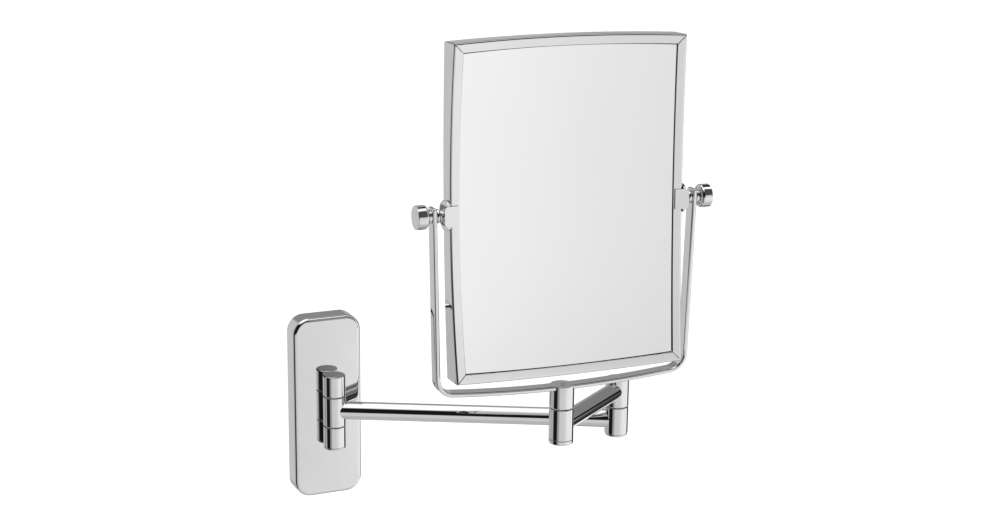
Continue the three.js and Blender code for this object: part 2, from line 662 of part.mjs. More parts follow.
// The quarter of the frame between two mitres: 0 right, 1 top, 2 left, 3 bottom.
// The mitres run in at 45 degrees from the corners, so an end piece starts further out than a
// side piece and a side piece is longer, both by half of what the frame is taller than wide.
function frameQuarter(ring, quarter) {
  const onEnd = quarter % 2 === 1;
  const taller = (MIRROR_HEIGHT - MIRROR_WIDTH) / 2;
  const out = (onEnd ? taller : 0) + MITRE_GAP * Math.SQRT2;
  const longer = onEnd ? 0 : taller;
  const inner = MIRROR_WIDTH / 4;
  const outer = MIRROR_WIDTH;
  const middle = new THREE.Vector2();
  const corners = [[inner, -1], [outer, -1], [outer, 1], [inner, 1]].map(([reach, side]) => (
    new THREE.Vector2(reach + out, side * (reach + longer)).rotateAround(middle, quarter * Math.PI / 2)
  ));
  return ring.intersect(standing(new THREE.Shape(corners), -2 * FRAME_DEPTH, 3 * FRAME_DEPTH));
}

function magnifyingGlass() {
  const blank = standing(mirrorOutline(GLASS_INSET), REAR_GLASS_BACK, 2 * FRAME_DEPTH);
  return blank.subtract(beforeDish(GLASS_LEVEL)).intersect(beforeDish(GLASS_LEVEL - GLASS_THICKNESS));
}

function plainGlass() {
  return standing(mirrorOutline(GLASS_INSET), REAR_GLASS_BACK, REAR_GLASS_FRONT);
}

function coreBoard() {
  const blank = standing(mirrorOutline(GLASS_INSET + CLEAR), REAR_GLASS_FRONT + CLEAR, 2 * FRAME_DEPTH);
  return blank.subtract(beforeDish(GLASS_LEVEL - GLASS_THICKNESS - CLEAR));
}

// Side disc, cut off level with a wide tab over the front of the frame, and a tab over the back.
function frameClamp() {
  const frontFace = DISH_POLE + sagitta(Math.hypot(FRAME_SIDE, TAB_HEIGHT / 2)) + CLEAR;
  const rearFace = FRAME_BACK - CLEAR;
  const half = TAB_HEIGHT / 2;
  const inner = FRAME_SIDE - TAB_LAP;
  const disc = crossRod(DISC_R, FRAME_SIDE + CLEAR, DISC_OUTER, FINE);
  const tabFace = -frontFace - TAB_THICKNESS;
  const discInFront = block([0, -2 * DISC_R, -DISC_R], [2 * DISC_OUTER, tabFace, DISC_R]);
  const frontTab = block([inner, tabFace, -half], [DISC_OUTER + TAB_REACH, -frontFace, half]);
  const rearTab = block([inner, -rearFace, -half], [DISC_OUTER, -rearFace + TAB_THICKNESS, half]);
  return disc.subtract(discInFront).add(frontTab).add(rearTab);
}

function pivotStud() {
  const base = DISC_OUTER + CLEAR;
  const end = KNOB_START + KNOB_LENGTH - KNOB_CROWN - CLEAR;
  return crossTurned([
    [0, base], [STUD_FLANGE_R, base], [STUD_FLANGE_R, base + STUD_FLANGE],
    [PIN_R, base + STUD_FLANGE], [PIN_R, end - EDGE], [PIN_R - EDGE, end], [0, end],
  ]);
}

// Collar with a narrow neck toward the mirror and a rounded bead toward the yoke.
function pivotCollar() {
  const from = DISC_OUTER + STUD_FLANGE + 2 * CLEAR;
  const to = YOKE_INNER - 2 * CLEAR;
  const beadStart = from + COLLAR_NECK;
  const beadR = (to - beadStart) / 2;
  const bead = [];
  for (let i = 0; i <= BEAD_STEPS; i += 1) {
    const turn = Math.PI * i / BEAD_STEPS;
    bead.push([COLLAR_R - beadR * (1 - Math.sin(turn)) / 2, beadStart + beadR * (1 - Math.cos(turn))]);
  }
  return crossTurned([
    [BORE_R, from], [COLLAR_NECK_R - EDGE / 2, from], [COLLAR_NECK_R, beadStart - EDGE],
    ...bead, [BORE_R, to], [BORE_R, from],
  ]);
}

function neckWasher() {
  const from = YOKE_OUTER + 2 * CLEAR;
  return crossTurned(ringProfile(BORE_R, NECK_WASHER_R, from, from + NECK_WASHER));
}

function pivotKnob() {
  const from = KNOB_START;
  const to = KNOB_START + KNOB_LENGTH;
  const knob = crossTurned([
    [0, from], [KNOB_NECK_R, from], [KNOB_R, from + KNOB_CHAMFER],
    [KNOB_R, to - EDGE / 2], [KNOB_R - EDGE / 2, to], [0, to],
  ], FINE);
  return knob.subtract(crossRod(BORE_R, from - PAST, to - KNOB_CROWN));
}

function buildMirror() {
  const mirror = new THREE.Group();
  mirror.position.z = PIVOT_Z;
  mirror.rotation.x = THREE.MathUtils.degToRad(-MIRROR_TILT);
  const ring = frameRing();
  ['frame_right_stile', 'frame_top_rail', 'frame_left_stile', 'frame_bottom_rail'].forEach((name, i) => {
    add(mirror, name, frameQuarter(ring, i), 'chrome');
  });
  add(mirror, 'magnifying_glass', magnifyingGlass(), 'glass');
  add(mirror, 'plain_glass', plainGlass(), 'glass');
  add(mirror, 'core_board', coreBoard(), 'board');
  for (const side of ['left', 'right']) {
    add(mirror, `${side}_frame_clamp`, forSide(frameClamp(), side), 'chrome');
    add(mirror, `${side}_pivot_stud`, forSide(pivotStud(), side), 'steel');
    add(mirror, `${side}_pivot_collar`, forSide(pivotCollar(), side), 'chrome');
    add(mirror, `${side}_neck_washer`, forSide(neckWasher(), side), 'chrome');
    add(mirror, `${side}_knob`, forSide(pivotKnob(), side), 'chrome');
  }
  return mirror;
}

// ---- assembly ----

const shavingMirror = new THREE.Group();
const { arm: firstArm, elbow } = buildFirstArm();
const { arm: secondArm, post } = buildSecondArm();
const yoke = buildYoke();
yoke.add(buildMirror());
post.add(yoke);
elbow.add(secondArm);
shavingMirror.add(buildWallMount(), firstArm);

export default shavingMirror;
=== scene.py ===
"""Looks of a folding, wall-mounted shaving mirror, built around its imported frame.

Each sub-assembly is a class that models its pieces in its own upright place, in millimetres, and
then sets them where the frame's joints say. All chrome is one plated finish with three lays.
"""

import json
import logging
import math
from collections.abc import Callable, Iterable, Sequence
from dataclasses import dataclass, field
from enum import Enum

import bmesh
import bpy
from mathutils import Matrix, Vector


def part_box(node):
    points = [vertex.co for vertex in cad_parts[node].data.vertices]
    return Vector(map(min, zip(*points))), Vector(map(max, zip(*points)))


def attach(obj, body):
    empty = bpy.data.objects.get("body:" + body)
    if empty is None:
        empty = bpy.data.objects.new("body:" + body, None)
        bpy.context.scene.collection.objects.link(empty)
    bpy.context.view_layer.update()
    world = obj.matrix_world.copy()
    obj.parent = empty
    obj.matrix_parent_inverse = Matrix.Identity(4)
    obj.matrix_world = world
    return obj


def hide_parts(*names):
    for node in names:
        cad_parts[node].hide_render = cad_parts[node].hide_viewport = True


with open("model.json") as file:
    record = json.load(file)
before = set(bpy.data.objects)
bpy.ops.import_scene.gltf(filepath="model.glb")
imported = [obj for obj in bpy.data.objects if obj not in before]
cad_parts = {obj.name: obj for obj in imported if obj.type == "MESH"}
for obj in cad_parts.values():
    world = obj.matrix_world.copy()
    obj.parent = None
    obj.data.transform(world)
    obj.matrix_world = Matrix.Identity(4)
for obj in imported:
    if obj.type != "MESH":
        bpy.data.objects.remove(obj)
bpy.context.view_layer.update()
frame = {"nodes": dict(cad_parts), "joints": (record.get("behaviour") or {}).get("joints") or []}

MM = 0.001               # metres in a millimetre
FINE_TURN = 128          # sides of a turned piece
COARSE_TURN = 64         # sides of a small turned piece
TOUCH = 0.01             # a corner this close to a level lies on it
SHARP_ANGLE = 30         # edges above this many degrees get rounded
HIDDEN_EDGE = 0.1        # rounding of edges that another piece covers
SPLIT_EDGE = 0.25        # rounding of edges that face each other across a split
WALL_KNUCKLE = 7.5       # radius of the knuckles of the wall hinge
KNUCKLE = 7.75           # radius of the elbow's and the post's knuckles
ARM_RISE = 20.0          # second arm's centre above the first arm's
MIRROR_TILT = 2.3        # top of the mirror back toward the wall, in degrees
log = logging.getLogger("shaving_mirror")

Profile = Sequence[tuple[float, float]]
Corners = list[Vector]


# ---------------------------------------------------------------- bench tools


def linear(colour: str) -> tuple[float, float, float, float]:
    """Turns an sRGB hex colour into a linear one.

    Args:
        colour: six hexadecimal digits.

    Returns:
        Linear red, green, blue and an alpha of one.
    """
    channels = [int(colour[i:i + 2], 16) / 255 for i in (0, 2, 4)]
    low, knee, power, offset = 12.92, 0.04045, 2.4, 0.055
    turned_linear = [
        c / low if c <= knee else ((c + offset) / (1 + offset)) ** power for c in channels
    ]
    return (*turned_linear, 1.0)


def add_node(
    tree: bpy.types.NodeTree, kind: str, inputs: dict[str | int, object] | None = None,
    **settings: object,
) -> bpy.types.Node:
    """Adds a node with its settings, and fills or links its inputs.

    Args:
        tree: the tree that gets the node.
        kind: the node's type name.
        inputs: a value or another node's output for each input, by name or number.
        settings: the node's own properties.

    Returns:
        The new node.
    """
    made = tree.nodes.new(kind)
    for name, value in settings.items():
        setattr(made, name, value)
    for name, value in (inputs or {}).items():
        if isinstance(value, bpy.types.NodeSocket):
            tree.links.new(value, made.inputs[name])
        else:
            made.inputs[name].default_value = value
    return made


def per_mm(size: float) -> float:
    """Scale of a pattern whose clouds or cells are this many millimetres wide."""
    return 1 / (size * MM)


def on_level(value: float, level: float) -> bool:
    """Tells whether one coordinate of a corner lies on a level, both in millimetres."""
    return abs(value - level) < TOUCH


def turned(degrees: float, axis: str) -> Matrix:
    """A turn by some degrees about the X, Y or Z axis."""
    return Matrix.Rotation(math.radians(degrees), 4, axis)


def select_only(*pieces: bpy.types.Object) -> None:
    """Selects the given pieces and nothing else, and makes the first one active.

    Args:
        pieces: what gets selected, which may be nothing.
    """
    bpy.ops.object.select_all(action="DESELECT")
    for piece in pieces:
        piece.select_set(True)
    if pieces:
        bpy.context.view_layer.objects.active = pieces[0]


def open_mesh(name: str) -> bpy.types.Object:
    """Names the newest object and opens it with all of it selected.

    Args:
        name: the piece's name.

    Returns:
        The object, in edit mode.
    """
    piece = bpy.context.active_object
    piece.name = name
    piece.data.name = name
    bpy.ops.object.mode_set(mode="EDIT")
    bpy.ops.mesh.select_all(action="SELECT")
    return piece


def close_mesh(merge: float = 0.001) -> None:
    """Merges doubled corners, turns all faces outward and leaves edit mode.

    Args:
        merge: corners closer than this become one, in millimetres.
    """
    bpy.ops.mesh.select_all(action="SELECT")
    bpy.ops.mesh.remove_doubles(threshold=merge * MM)
    bpy.ops.mesh.normals_make_consistent(inside=False)
    bpy.ops.object.mode_set(mode="OBJECT")


def pick(kind: str, test: Callable[[Corners], bool]) -> None:
    """Selects the faces, edges or corners of the open mesh that pass a test, and nothing else.

    Args:
        kind: FACE, EDGE or VERT.
        test: takes an element's corners, in millimetres.
    """
    bpy.ops.mesh.select_mode(type=kind)
    bpy.ops.mesh.select_all(action="DESELECT")
    mesh = bpy.context.edit_object.data
    sketch = bmesh.from_edit_mesh(mesh)
    elements = {"FACE": sketch.faces, "EDGE": sketch.edges, "VERT": sketch.verts}[kind]
    for element in elements:
        corners = [element] if kind == "VERT" else element.verts
        element.select_set(test([v.co / MM for v in corners]))
    sketch.select_flush_mode()
    bmesh.update_edit_mesh(mesh)


def apply_all(piece: bpy.types.Object) -> None:
    """Applies a piece's modifiers in order.

    Args:
        piece: the piece, out of edit mode.
    """
    bpy.context.view_layer.objects.active = piece
    for modifier in list(piece.modifiers):
        bpy.ops.object.modifier_apply(modifier=modifier.name)


def round_edges(piece: bpy.types.Object, radius: float, segments: int = 3) -> None:
    """Rounds every sharp edge.

    Args:
        piece: the piece, out of edit mode.
        radius: the rounding, in millimetres.
        segments: flats in each rounding.
    """
    bevel = piece.modifiers.new("edge_rounding", "BEVEL")
    bevel.width = radius * MM
    bevel.segments = segments
    bevel.limit_method = "ANGLE"
    bevel.angle_limit = math.radians(SHARP_ANGLE)
    apply_all(piece)


def smooth(piece: bpy.types.Object, sharp: float = 60) -> None:
    """Shades a piece smooth, with flat faces that stay flat up to their rounded edges.

    Args:
        piece: the piece, out of edit mode.
        sharp: edges above this angle, in degrees, stay crisp.
    """
    select_only(piece)
    bpy.ops.object.shade_smooth_by_angle(angle=math.radians(sharp))
    weighted = piece.modifiers.new("flat_faces", "WEIGHTED_NORMAL")
    weighted.keep_sharp = True
    apply_all(piece)


def settle(piece: bpy.types.Object, place: Matrix) -> None:
    """Moves a piece to its place and leaves that place in its mesh.

    Args:
        piece: the piece, modelled about the world's origin.
        place: where that origin goes, with translations in metres.
    """
    select_only(piece)
    bpy.ops.object.transform_apply(location=True, rotation=True, scale=True)
    piece.matrix_world = place
    bpy.ops.object.transform_apply(location=True, rotation=True, scale=True)


def joined(name: str, pieces: Sequence[bpy.types.Object]) -> bpy.types.Object:
    """Makes one piece of several.

    Args:
        name: the name of the whole.
        pieces: what it is made of.

    Returns:
        The one piece.
    """
    select_only(*pieces)
    bpy.ops.object.join()
    pieces[0].name = name
    pieces[0].data.name = name
    return pieces[0]


def quarter(centre: tuple[float, float], radius: float, start: float, steps: int = 5) -> Profile:
    """A quarter circle in a turning profile.

    Args:
        centre: its centre as (distance from the axis, height).
        radius: its radius.
        start: the angle that it starts at, in degrees from straight out.
        steps: how many flats it has.

    Returns:
        Its points, a quarter turn anticlockwise.
    """
    turns = [math.radians(start + 90 * i / steps) for i in range(steps + 1)]
    return [(centre[0] + radius * math.cos(t), centre[1] + radius * math.sin(t)) for t in turns]


def barrel(radius: float, low: float, high: float, foot: float, head: float) -> Profile:
    """A straight round bar with a rounded edge at either end.

    Args:
        radius: its radius.
        low: its lower end.
        high: its upper end.
        foot: rounding of the lower edge.
        head: rounding of the upper edge.

    Returns:
        The profile, lowest first.
    """
    return [
        *quarter((radius - foot, low + foot), foot, -90),
        *quarter((radius - head, high - head), head, 0),
    ]


def turn_upright(name: str, profile: Profile, sides: int = FINE_TURN) -> bpy.types.Object:
    """Turns a solid about the upright axis: a disc is extruded and resized up its profile.

    Args:
        name: the piece's name.
        profile: (radius, height) steps in millimetres, starting and ending off the axis.
        sides: how many sides its circles have.

    Returns:
        The piece, out of edit mode.
    """
    select_only()
    radius, height = profile[0]
    bpy.ops.mesh.primitive_circle_add(
        vertices=sides, radius=radius * MM, fill_type="NGON", location=(0, 0, height * MM),
    )
    piece = open_mesh(name)
    for next_radius, next_height in profile[1:]:
        step = (0, 0, (next_height - height) * MM)
        bpy.ops.mesh.extrude_region_move(TRANSFORM_OT_translate={"value": step})
        ratio = next_radius / radius
        pivot = (0, 0, next_height * MM)
        bpy.ops.transform.resize(value=(ratio, ratio, 1), center_override=pivot)
        radius, height = next_radius, next_height
    close_mesh()
    settle(piece, Matrix.Identity(4))
    return piece


def turn_across(name: str, profile: Profile, sides: int = FINE_TURN) -> bpy.types.Object:
    """Turns a solid about the X axis, its heights becoming distances along X.

    Args:
        name: the piece's name.
        profile: (radius, distance) steps in millimetres.
        sides: how many sides its circles have.

    Returns:
        The piece, out of edit mode.
    """
    piece = turn_upright(name, profile, sides)
    settle(piece, turned(90, "Y"))
    return piece


def block(name: str, low: Sequence[float], high: Sequence[float]) -> bpy.types.Object:
    """Starts a piece as a box between two corners, and opens it.

    Args:
        name: the piece's name.
        low: its lowest corner in millimetres.
        high: its highest corner in millimetres.

    Returns:
        The piece, in edit mode.
    """
    select_only()
    middle = [(a + b) / 2 * MM for a, b in zip(low, high)]
    bpy.ops.mesh.primitive_cube_add(size=1, location=middle)
    piece = open_mesh(name)
    size = [(b - a) * MM for a, b in zip(low, high)]
    bpy.ops.transform.resize(value=size, center_override=middle)
    bpy.ops.object.mode_set(mode="OBJECT")
    settle(piece, Matrix.Identity(4))
    bpy.ops.object.mode_set(mode="EDIT")
    return piece


def outlined(name: str, outline: Profile) -> bpy.types.Object:
    """Draws a flat face from its corners, by pulling one corner round the outline.

    Args:
        name: the piece's name.
        outline: its corners as (X, Y) in millimetres.

    Returns:
        The face, in edit mode.
    """
    select_only()
    bpy.ops.mesh.primitive_plane_add(size=MM)
    piece = open_mesh(name)
    bpy.ops.mesh.select_mode(type="VERT")
    bpy.ops.mesh.select_all(action="SELECT")
    bpy.ops.mesh.merge(type="CENTER")
    bpy.ops.transform.translate(value=(outline[0][0] * MM, outline[0][1] * MM, 0))
    for here, there in zip(outline, outline[1:]):
        step = ((there[0] - here[0]) * MM, (there[1] - here[1]) * MM, 0)
        bpy.ops.mesh.extrude_region_move(TRANSFORM_OT_translate={"value": step})
    pick("VERT", lambda ends: any(
        on_level(ends[0].x, x) and on_level(ends[0].y, y) for x, y in (outline[0], outline[-1])
    ))
    bpy.ops.mesh.edge_face_add()
    bpy.ops.mesh.select_all(action="SELECT")
    bpy.ops.mesh.edge_face_add()
    return piece


# ---------------------------------------------------------------- finishes


class Lay(Enum):
    """Direction that the polishing marks run in under the plate, as pattern sizes along X, Y, Z."""

    BUFFED = (1.0, 1.0, 1.0)
    DRAWN = (0.05, 0.05, 1.0)
    TURNED = (0.15, 0.15, 1.0)


@dataclass(frozen=True)
class ChromePlate:
    """Bright chromium over nickel on polished brass: dark and mirror sharp, faintly blue.

    The eye sees hard black and white reflections that waver a little with the polisher's hand,
    hairline polishing marks that dull the sharpest highlights, and soft dull patches of wiping.
    The hairlines are drawn about ten times coarser than a buffing wheel's, so that they show.

    Attributes:
        lay: the way that the polishing marks run.
        bright: colour of the dull patches.
        deep: colour of the clean plate.
        wave: width of the polisher's waves in millimetres.
        wave_height: their height in millimetres.
        hairline: spacing of the polishing marks in millimetres.
        hairline_height: their depth in millimetres.
        smudge: width of the dull patches in millimetres.
        smudged: where a patch starts and where it is full, as shares of the pattern.
        roughness: of the clean plate and of a full patch.
    """

    lay: Lay = Lay.BUFFED
    bright: str = "E4E4E5"
    deep: str = "DCDCDE"
    wave: float = 26.0
    wave_height: float = 0.03
    hairline: float = 0.7
    hairline_height: float = 0.0006
    smudge: float = 17.0
    smudged: tuple[float, float] = (0.48, 0.72)
    roughness: tuple[float, float] = (0.025, 0.075)

    def material(self) -> bpy.types.Material:
        """Builds the plated finish once for its lay.

        Returns:
            The finish, newly built or from before.
        """
        name = f"chrome_plate_{self.lay.name.lower()}"
        if name in bpy.data.materials:
            return bpy.data.materials[name]
        made, tree, place = new_material(name)
        shrunk = add_node(
            tree, "ShaderNodeMapping", {"Vector": place, "Scale": self.lay.value},
        ).outputs["Vector"]
        wave, lines, smudge = (
            add_node(tree, "ShaderNodeTexNoise", {
                "Vector": where, "Scale": per_mm(size), "Detail": detail,
            }).outputs[0]
            for where, size, detail in (
                (place, self.wave, 1.0), (shrunk, self.hairline, 2.0), (place, self.smudge, 4.0),
            )
        )
        dulling = add_node(tree, "ShaderNodeMapRange", {
            "Value": smudge, "From Min": self.smudged[0], "From Max": self.smudged[1],
        }, interpolation_type="SMOOTHSTEP").outputs["Result"]
        worn = add_node(tree, "ShaderNodeMath", {0: dulling, 1: lines}, operation="MULTIPLY")
        low, high = self.roughness
        rough = add_node(tree, "ShaderNodeMapRange", {
            "Value": worn.outputs["Value"], "From Min": 0.0, "From Max": 0.6,
            "To Min": low, "To Max": high,
        }).outputs["Result"]
        colour = add_node(tree, "ShaderNodeMix", {
            0: smudge, 6: linear(self.deep), 7: linear(self.bright),
        }, data_type="RGBA").outputs[2]
        soft = add_node(tree, "ShaderNodeBump", {
            "Height": wave, "Strength": 1.0, "Distance": self.wave_height * MM,
        }).outputs["Normal"]
        fine = add_node(tree, "ShaderNodeBump", {
            "Height": lines, "Strength": 1.0, "Distance": self.hairline_height * MM,
            "Normal": soft,
        }).outputs["Normal"]
        end_in_shader(tree, {
            "Base Color": colour, "Metallic": 1.0, "Roughness": rough, "Normal": fine,
        })
        return made


@dataclass(frozen=True)
class SilveredGlass:
    """Polished float glass, silvered behind: a clean image, only faintly clouded by wiping.

    Attributes:
        clear: colour of the clean glass.
        clouded: colour under a trace of wiping.
        wipe: width of a wiping trace in millimetres.
        wipe_height: its relief in millimetres.
        wipe_angle: its slant in degrees.
        wipe_stretch: its width as a share of its length.
        dust_spacing: distance between specks of dust in millimetres.
    """

    clear: str = "F2F2F2"
    clouded: str = "EDEDED"
    wipe: float = 60.0
    wipe_height: float = 0.0008
    wipe_angle: float = 35.0
    wipe_stretch: float = 0.3
    dust_spacing: float = 8.4

    def material(self) -> bpy.types.Material:
        """Builds the silvered finish once.

        Returns:
            The finish, newly built or from before.
        """
        name = "silvered_float_glass"
        if name in bpy.data.materials:
            return bpy.data.materials[name]
        made, tree, place = new_material(name)
        strokes = add_node(tree, "ShaderNodeMapping", {
            "Vector": place, "Rotation": (0, math.radians(self.wipe_angle), 0),
            "Scale": (1, 1, self.wipe_stretch),
        }).outputs["Vector"]
        wipes = add_node(tree, "ShaderNodeTexNoise", {
            "Vector": strokes, "Scale": per_mm(self.wipe), "Detail": 5.0,
        }).outputs[0]
        specks = add_node(tree, "ShaderNodeTexVoronoi", {
            "Vector": place, "Scale": per_mm(self.dust_spacing), "Randomness": 1.0,
        }).outputs["Distance"]
        dust = add_node(tree, "ShaderNodeMapRange", {
            "Value": specks, "From Min": 0.02, "From Max": 0.05, "To Min": 0.05, "To Max": 0.0,
        }).outputs["Result"]
        haze = add_node(tree, "ShaderNodeMapRange", {
            "Value": wipes, "From Min": 0.45, "From Max": 0.75, "To Min": 0.001, "To Max": 0.008,
        }).outputs["Result"]
        rough = add_node(tree, "ShaderNodeMath", {0: haze, 1: dust}, operation="ADD")
        colour = add_node(tree, "ShaderNodeMix", {
            0: wipes, 6: linear(self.clear), 7: linear(self.clouded),
        }, data_type="RGBA").outputs[2]
        flat = add_node(tree, "ShaderNodeBump", {
            "Height": wipes, "Strength": 1.0, "Distance": self.wipe_height * MM,
        }).outputs["Normal"]
        end_in_shader(tree, {
            "Base Color": colour, "Metallic": 1.0, "Roughness": rough.outputs["Value"],
            "Normal": flat,
        })
        return made


@dataclass(frozen=True)
class MattFinish:
    """A plain workshop finish: two tones in a pattern of a real size, and a fine grain in relief.

    Zinc shows cloudy spangle, turned brass tool rings, nylon a waxy bloom, hardboard its fibres
    and the black band of painted shade round the glass a faint grain.

    Attributes:
        name: the material's name.
        light: colour of its lighter tone.
        dark: colour of its darker tone.
        grain: width of a cloud or grain in millimetres.
        fineness: how many times finer the relief is.
        stretch: pattern sizes along X, Y and Z.
        metallic: 1 for a metal.
        roughness: lowest and highest.
        relief: height of the fine grain in millimetres.
        ior: refractive index.
        subsurface: share of light that sinks in.
    """

    name: str
    light: str
    dark: str
    grain: float
    fineness: float = 6.0
    stretch: tuple[float, float, float] = (1, 1, 1)
    metallic: float = 0.0
    roughness: tuple[float, float] = (0.4, 0.6)
    relief: float = 0.01
    ior: float = 1.5
    subsurface: float = 0.0

    def material(self) -> bpy.types.Material:
        """Builds the finish once.

        Returns:
            The finish, newly built or from before.
        """
        if self.name in bpy.data.materials:
            return bpy.data.materials[self.name]
        made, tree, place = new_material(self.name)
        shrunk = add_node(
            tree, "ShaderNodeMapping", {"Vector": place, "Scale": self.stretch},
        ).outputs["Vector"]
        cloud, fine = (
            add_node(tree, "ShaderNodeTexNoise", {
                "Vector": shrunk, "Scale": per_mm(size), "Detail": detail,
            }).outputs[0]
            for size, detail in ((self.grain, 4.0), (self.grain / self.fineness, 2.0))
        )
        colour = add_node(tree, "ShaderNodeMix", {
            0: cloud, 6: linear(self.dark), 7: linear(self.light),
        }, data_type="RGBA").outputs[2]
        low, high = self.roughness
        rough = add_node(tree, "ShaderNodeMapRange", {
            "Value": fine, "From Min": 0.3, "From Max": 0.7, "To Min": low, "To Max": high,
        }).outputs["Result"]
        relief = add_node(tree, "ShaderNodeBump", {
            "Height": fine, "Strength": 1.0, "Distance": self.relief * MM,
        }).outputs["Normal"]
        end_in_shader(tree, {
            "Base Color": colour, "Metallic": self.metallic, "Roughness": rough,
            "Normal": relief, "IOR": self.ior, "Subsurface Weight": self.subsurface,
        })
        return made


def new_material(
    name: str,
) -> tuple[bpy.types.Material, bpy.types.NodeTree, bpy.types.NodeSocket]:
    """Starts a material with nothing in its tree but the piece's own coordinates.

    Args:
        name: the material's name.

    Returns:
        The material, its node tree and the Object coordinates.
    """
    made = bpy.data.materials.new(name)
    made.use_nodes = True
    tree = made.node_tree
    tree.nodes.clear()
    return made, tree, add_node(tree, "ShaderNodeTexCoord").outputs["Object"]


def end_in_shader(tree: bpy.types.NodeTree, inputs: dict[str, object]) -> None:
    """Ends a material's tree in its surface shader and output.

    Args:
        tree: the material's tree.
        inputs: a value or an output for each input of the shader.
    """
    shader = add_node(tree, "ShaderNodeBsdfPrincipled", inputs)
    add_node(tree, "ShaderNodeOutputMaterial", {"Surface": shader.outputs["BSDF"]})


Finish = ChromePlate | SilveredGlass | MattFinish

# Chromium plate, buffed: the marks run every way, so the reflections stay even.
CHROME = ChromePlate()
# The same plate on turned pieces: hairlines run round the axis.
TURNED_CHROME = ChromePlate(lay=Lay.TURNED)
# The same plate on drawn tube: long hairlines run along the tube.
DRAWN_CHROME = ChromePlate(lay=Lay.DRAWN)
# Float glass, silvered behind: a clean image with a trace of wiping and dust.
SILVER = SilveredGlass()
# Zinc plate on cold-rolled sheet: dull grey with a soft spangle.
ZINC = MattFinish(
    "zinc_plated_steel", "B4B7BB", "8C9096", grain=3.5, metallic=1.0, roughness=(0.3, 0.48),
)
# Free-cutting brass, turned: warm, with tool rings across the axis.
BRASS = MattFinish(
    "turned_brass", "D2B06A", "A8853F", grain=1.2, stretch=(0.1, 0.1, 1), metallic=1.0,
    roughness=(0.22, 0.4),
)
# Unfilled nylon, moulded: milky, with light sinking a little into it.
NYLON = MattFinish(
    "moulded_nylon", "EFEDE6", "DEDBD1", grain=2.0, roughness=(0.42, 0.55), ior=1.53,
    subsurface=0.2,
)
# Hardboard, pressed: brown wood fibre with a felted surface.
HARDBOARD = MattFinish(
    "pressed_hardboard", "8A765C", "5E4D3A", grain=1.5, stretch=(1, 1, 3), roughness=(0.7, 0.9),
    relief=0.05,
)
# Painted shade, run round the glass: a satin black band that stands for the shade where the edge of
# the silvering lies under the frame's lip.
PAINTED_EDGE_SHADE = MattFinish(
    "tooled_black_silicone", "2B2C2D", "191A1B", grain=3.0, roughness=(0.35, 0.5), relief=0.02,
    ior=1.41,
)


# ---------------------------------------------------------------- sub-assemblies


def joint_place(name: str) -> Vector:
    """The anchor of one of the frame's joints, in metres."""
    return Vector(next(j["pos_m"] for j in frame["joints"] if j["name"] == name))


def joint_axis(name: str) -> Vector:
    """The axis of one of the frame's joints."""
    return Vector(next(j["axis"] for j in frame["joints"] if j["name"] == name))


def heights(node: str) -> tuple[float, float]:
    """Lowest and highest level of a frame node, in millimetres."""
    low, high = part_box(node)
    return low.z / MM, high.z / MM


def facing(start: Vector, end: Vector) -> float:
    """The angle about the upright axis from +X to the line between two places."""
    return math.atan2(end.y - start.y, end.x - start.x)


@dataclass
class SubAssembly:
    """Pieces that ride on one body, modelled about that body's own axis.

    Attributes:
        body: the frame body that they ride on.
        place: where the sub-assembly's own origin lies in the frame.
    """

    body: str
    place: Matrix

    def fit(
        self, piece: bpy.types.Object, nodes: Iterable[str], finish: Finish = TURNED_CHROME,
        slot: str = "chrome_plate",
    ) -> None:
        """Puts a modelled piece in its place, dresses it and lets it ride.

        Args:
            piece: the piece, out of edit mode.
            nodes: the frame nodes that it stands for.
            finish: its finish.
            slot: the record's material slot; not used.
        """
        settle(piece, self.place)
        smooth(piece)
        piece.data.materials.clear()
        piece.data.materials.append(finish.material())
        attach(piece, self.body)
        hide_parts(*nodes)
        log.info("%s rides on %s, %d faces", piece.name, self.body, len(piece.data.polygons))


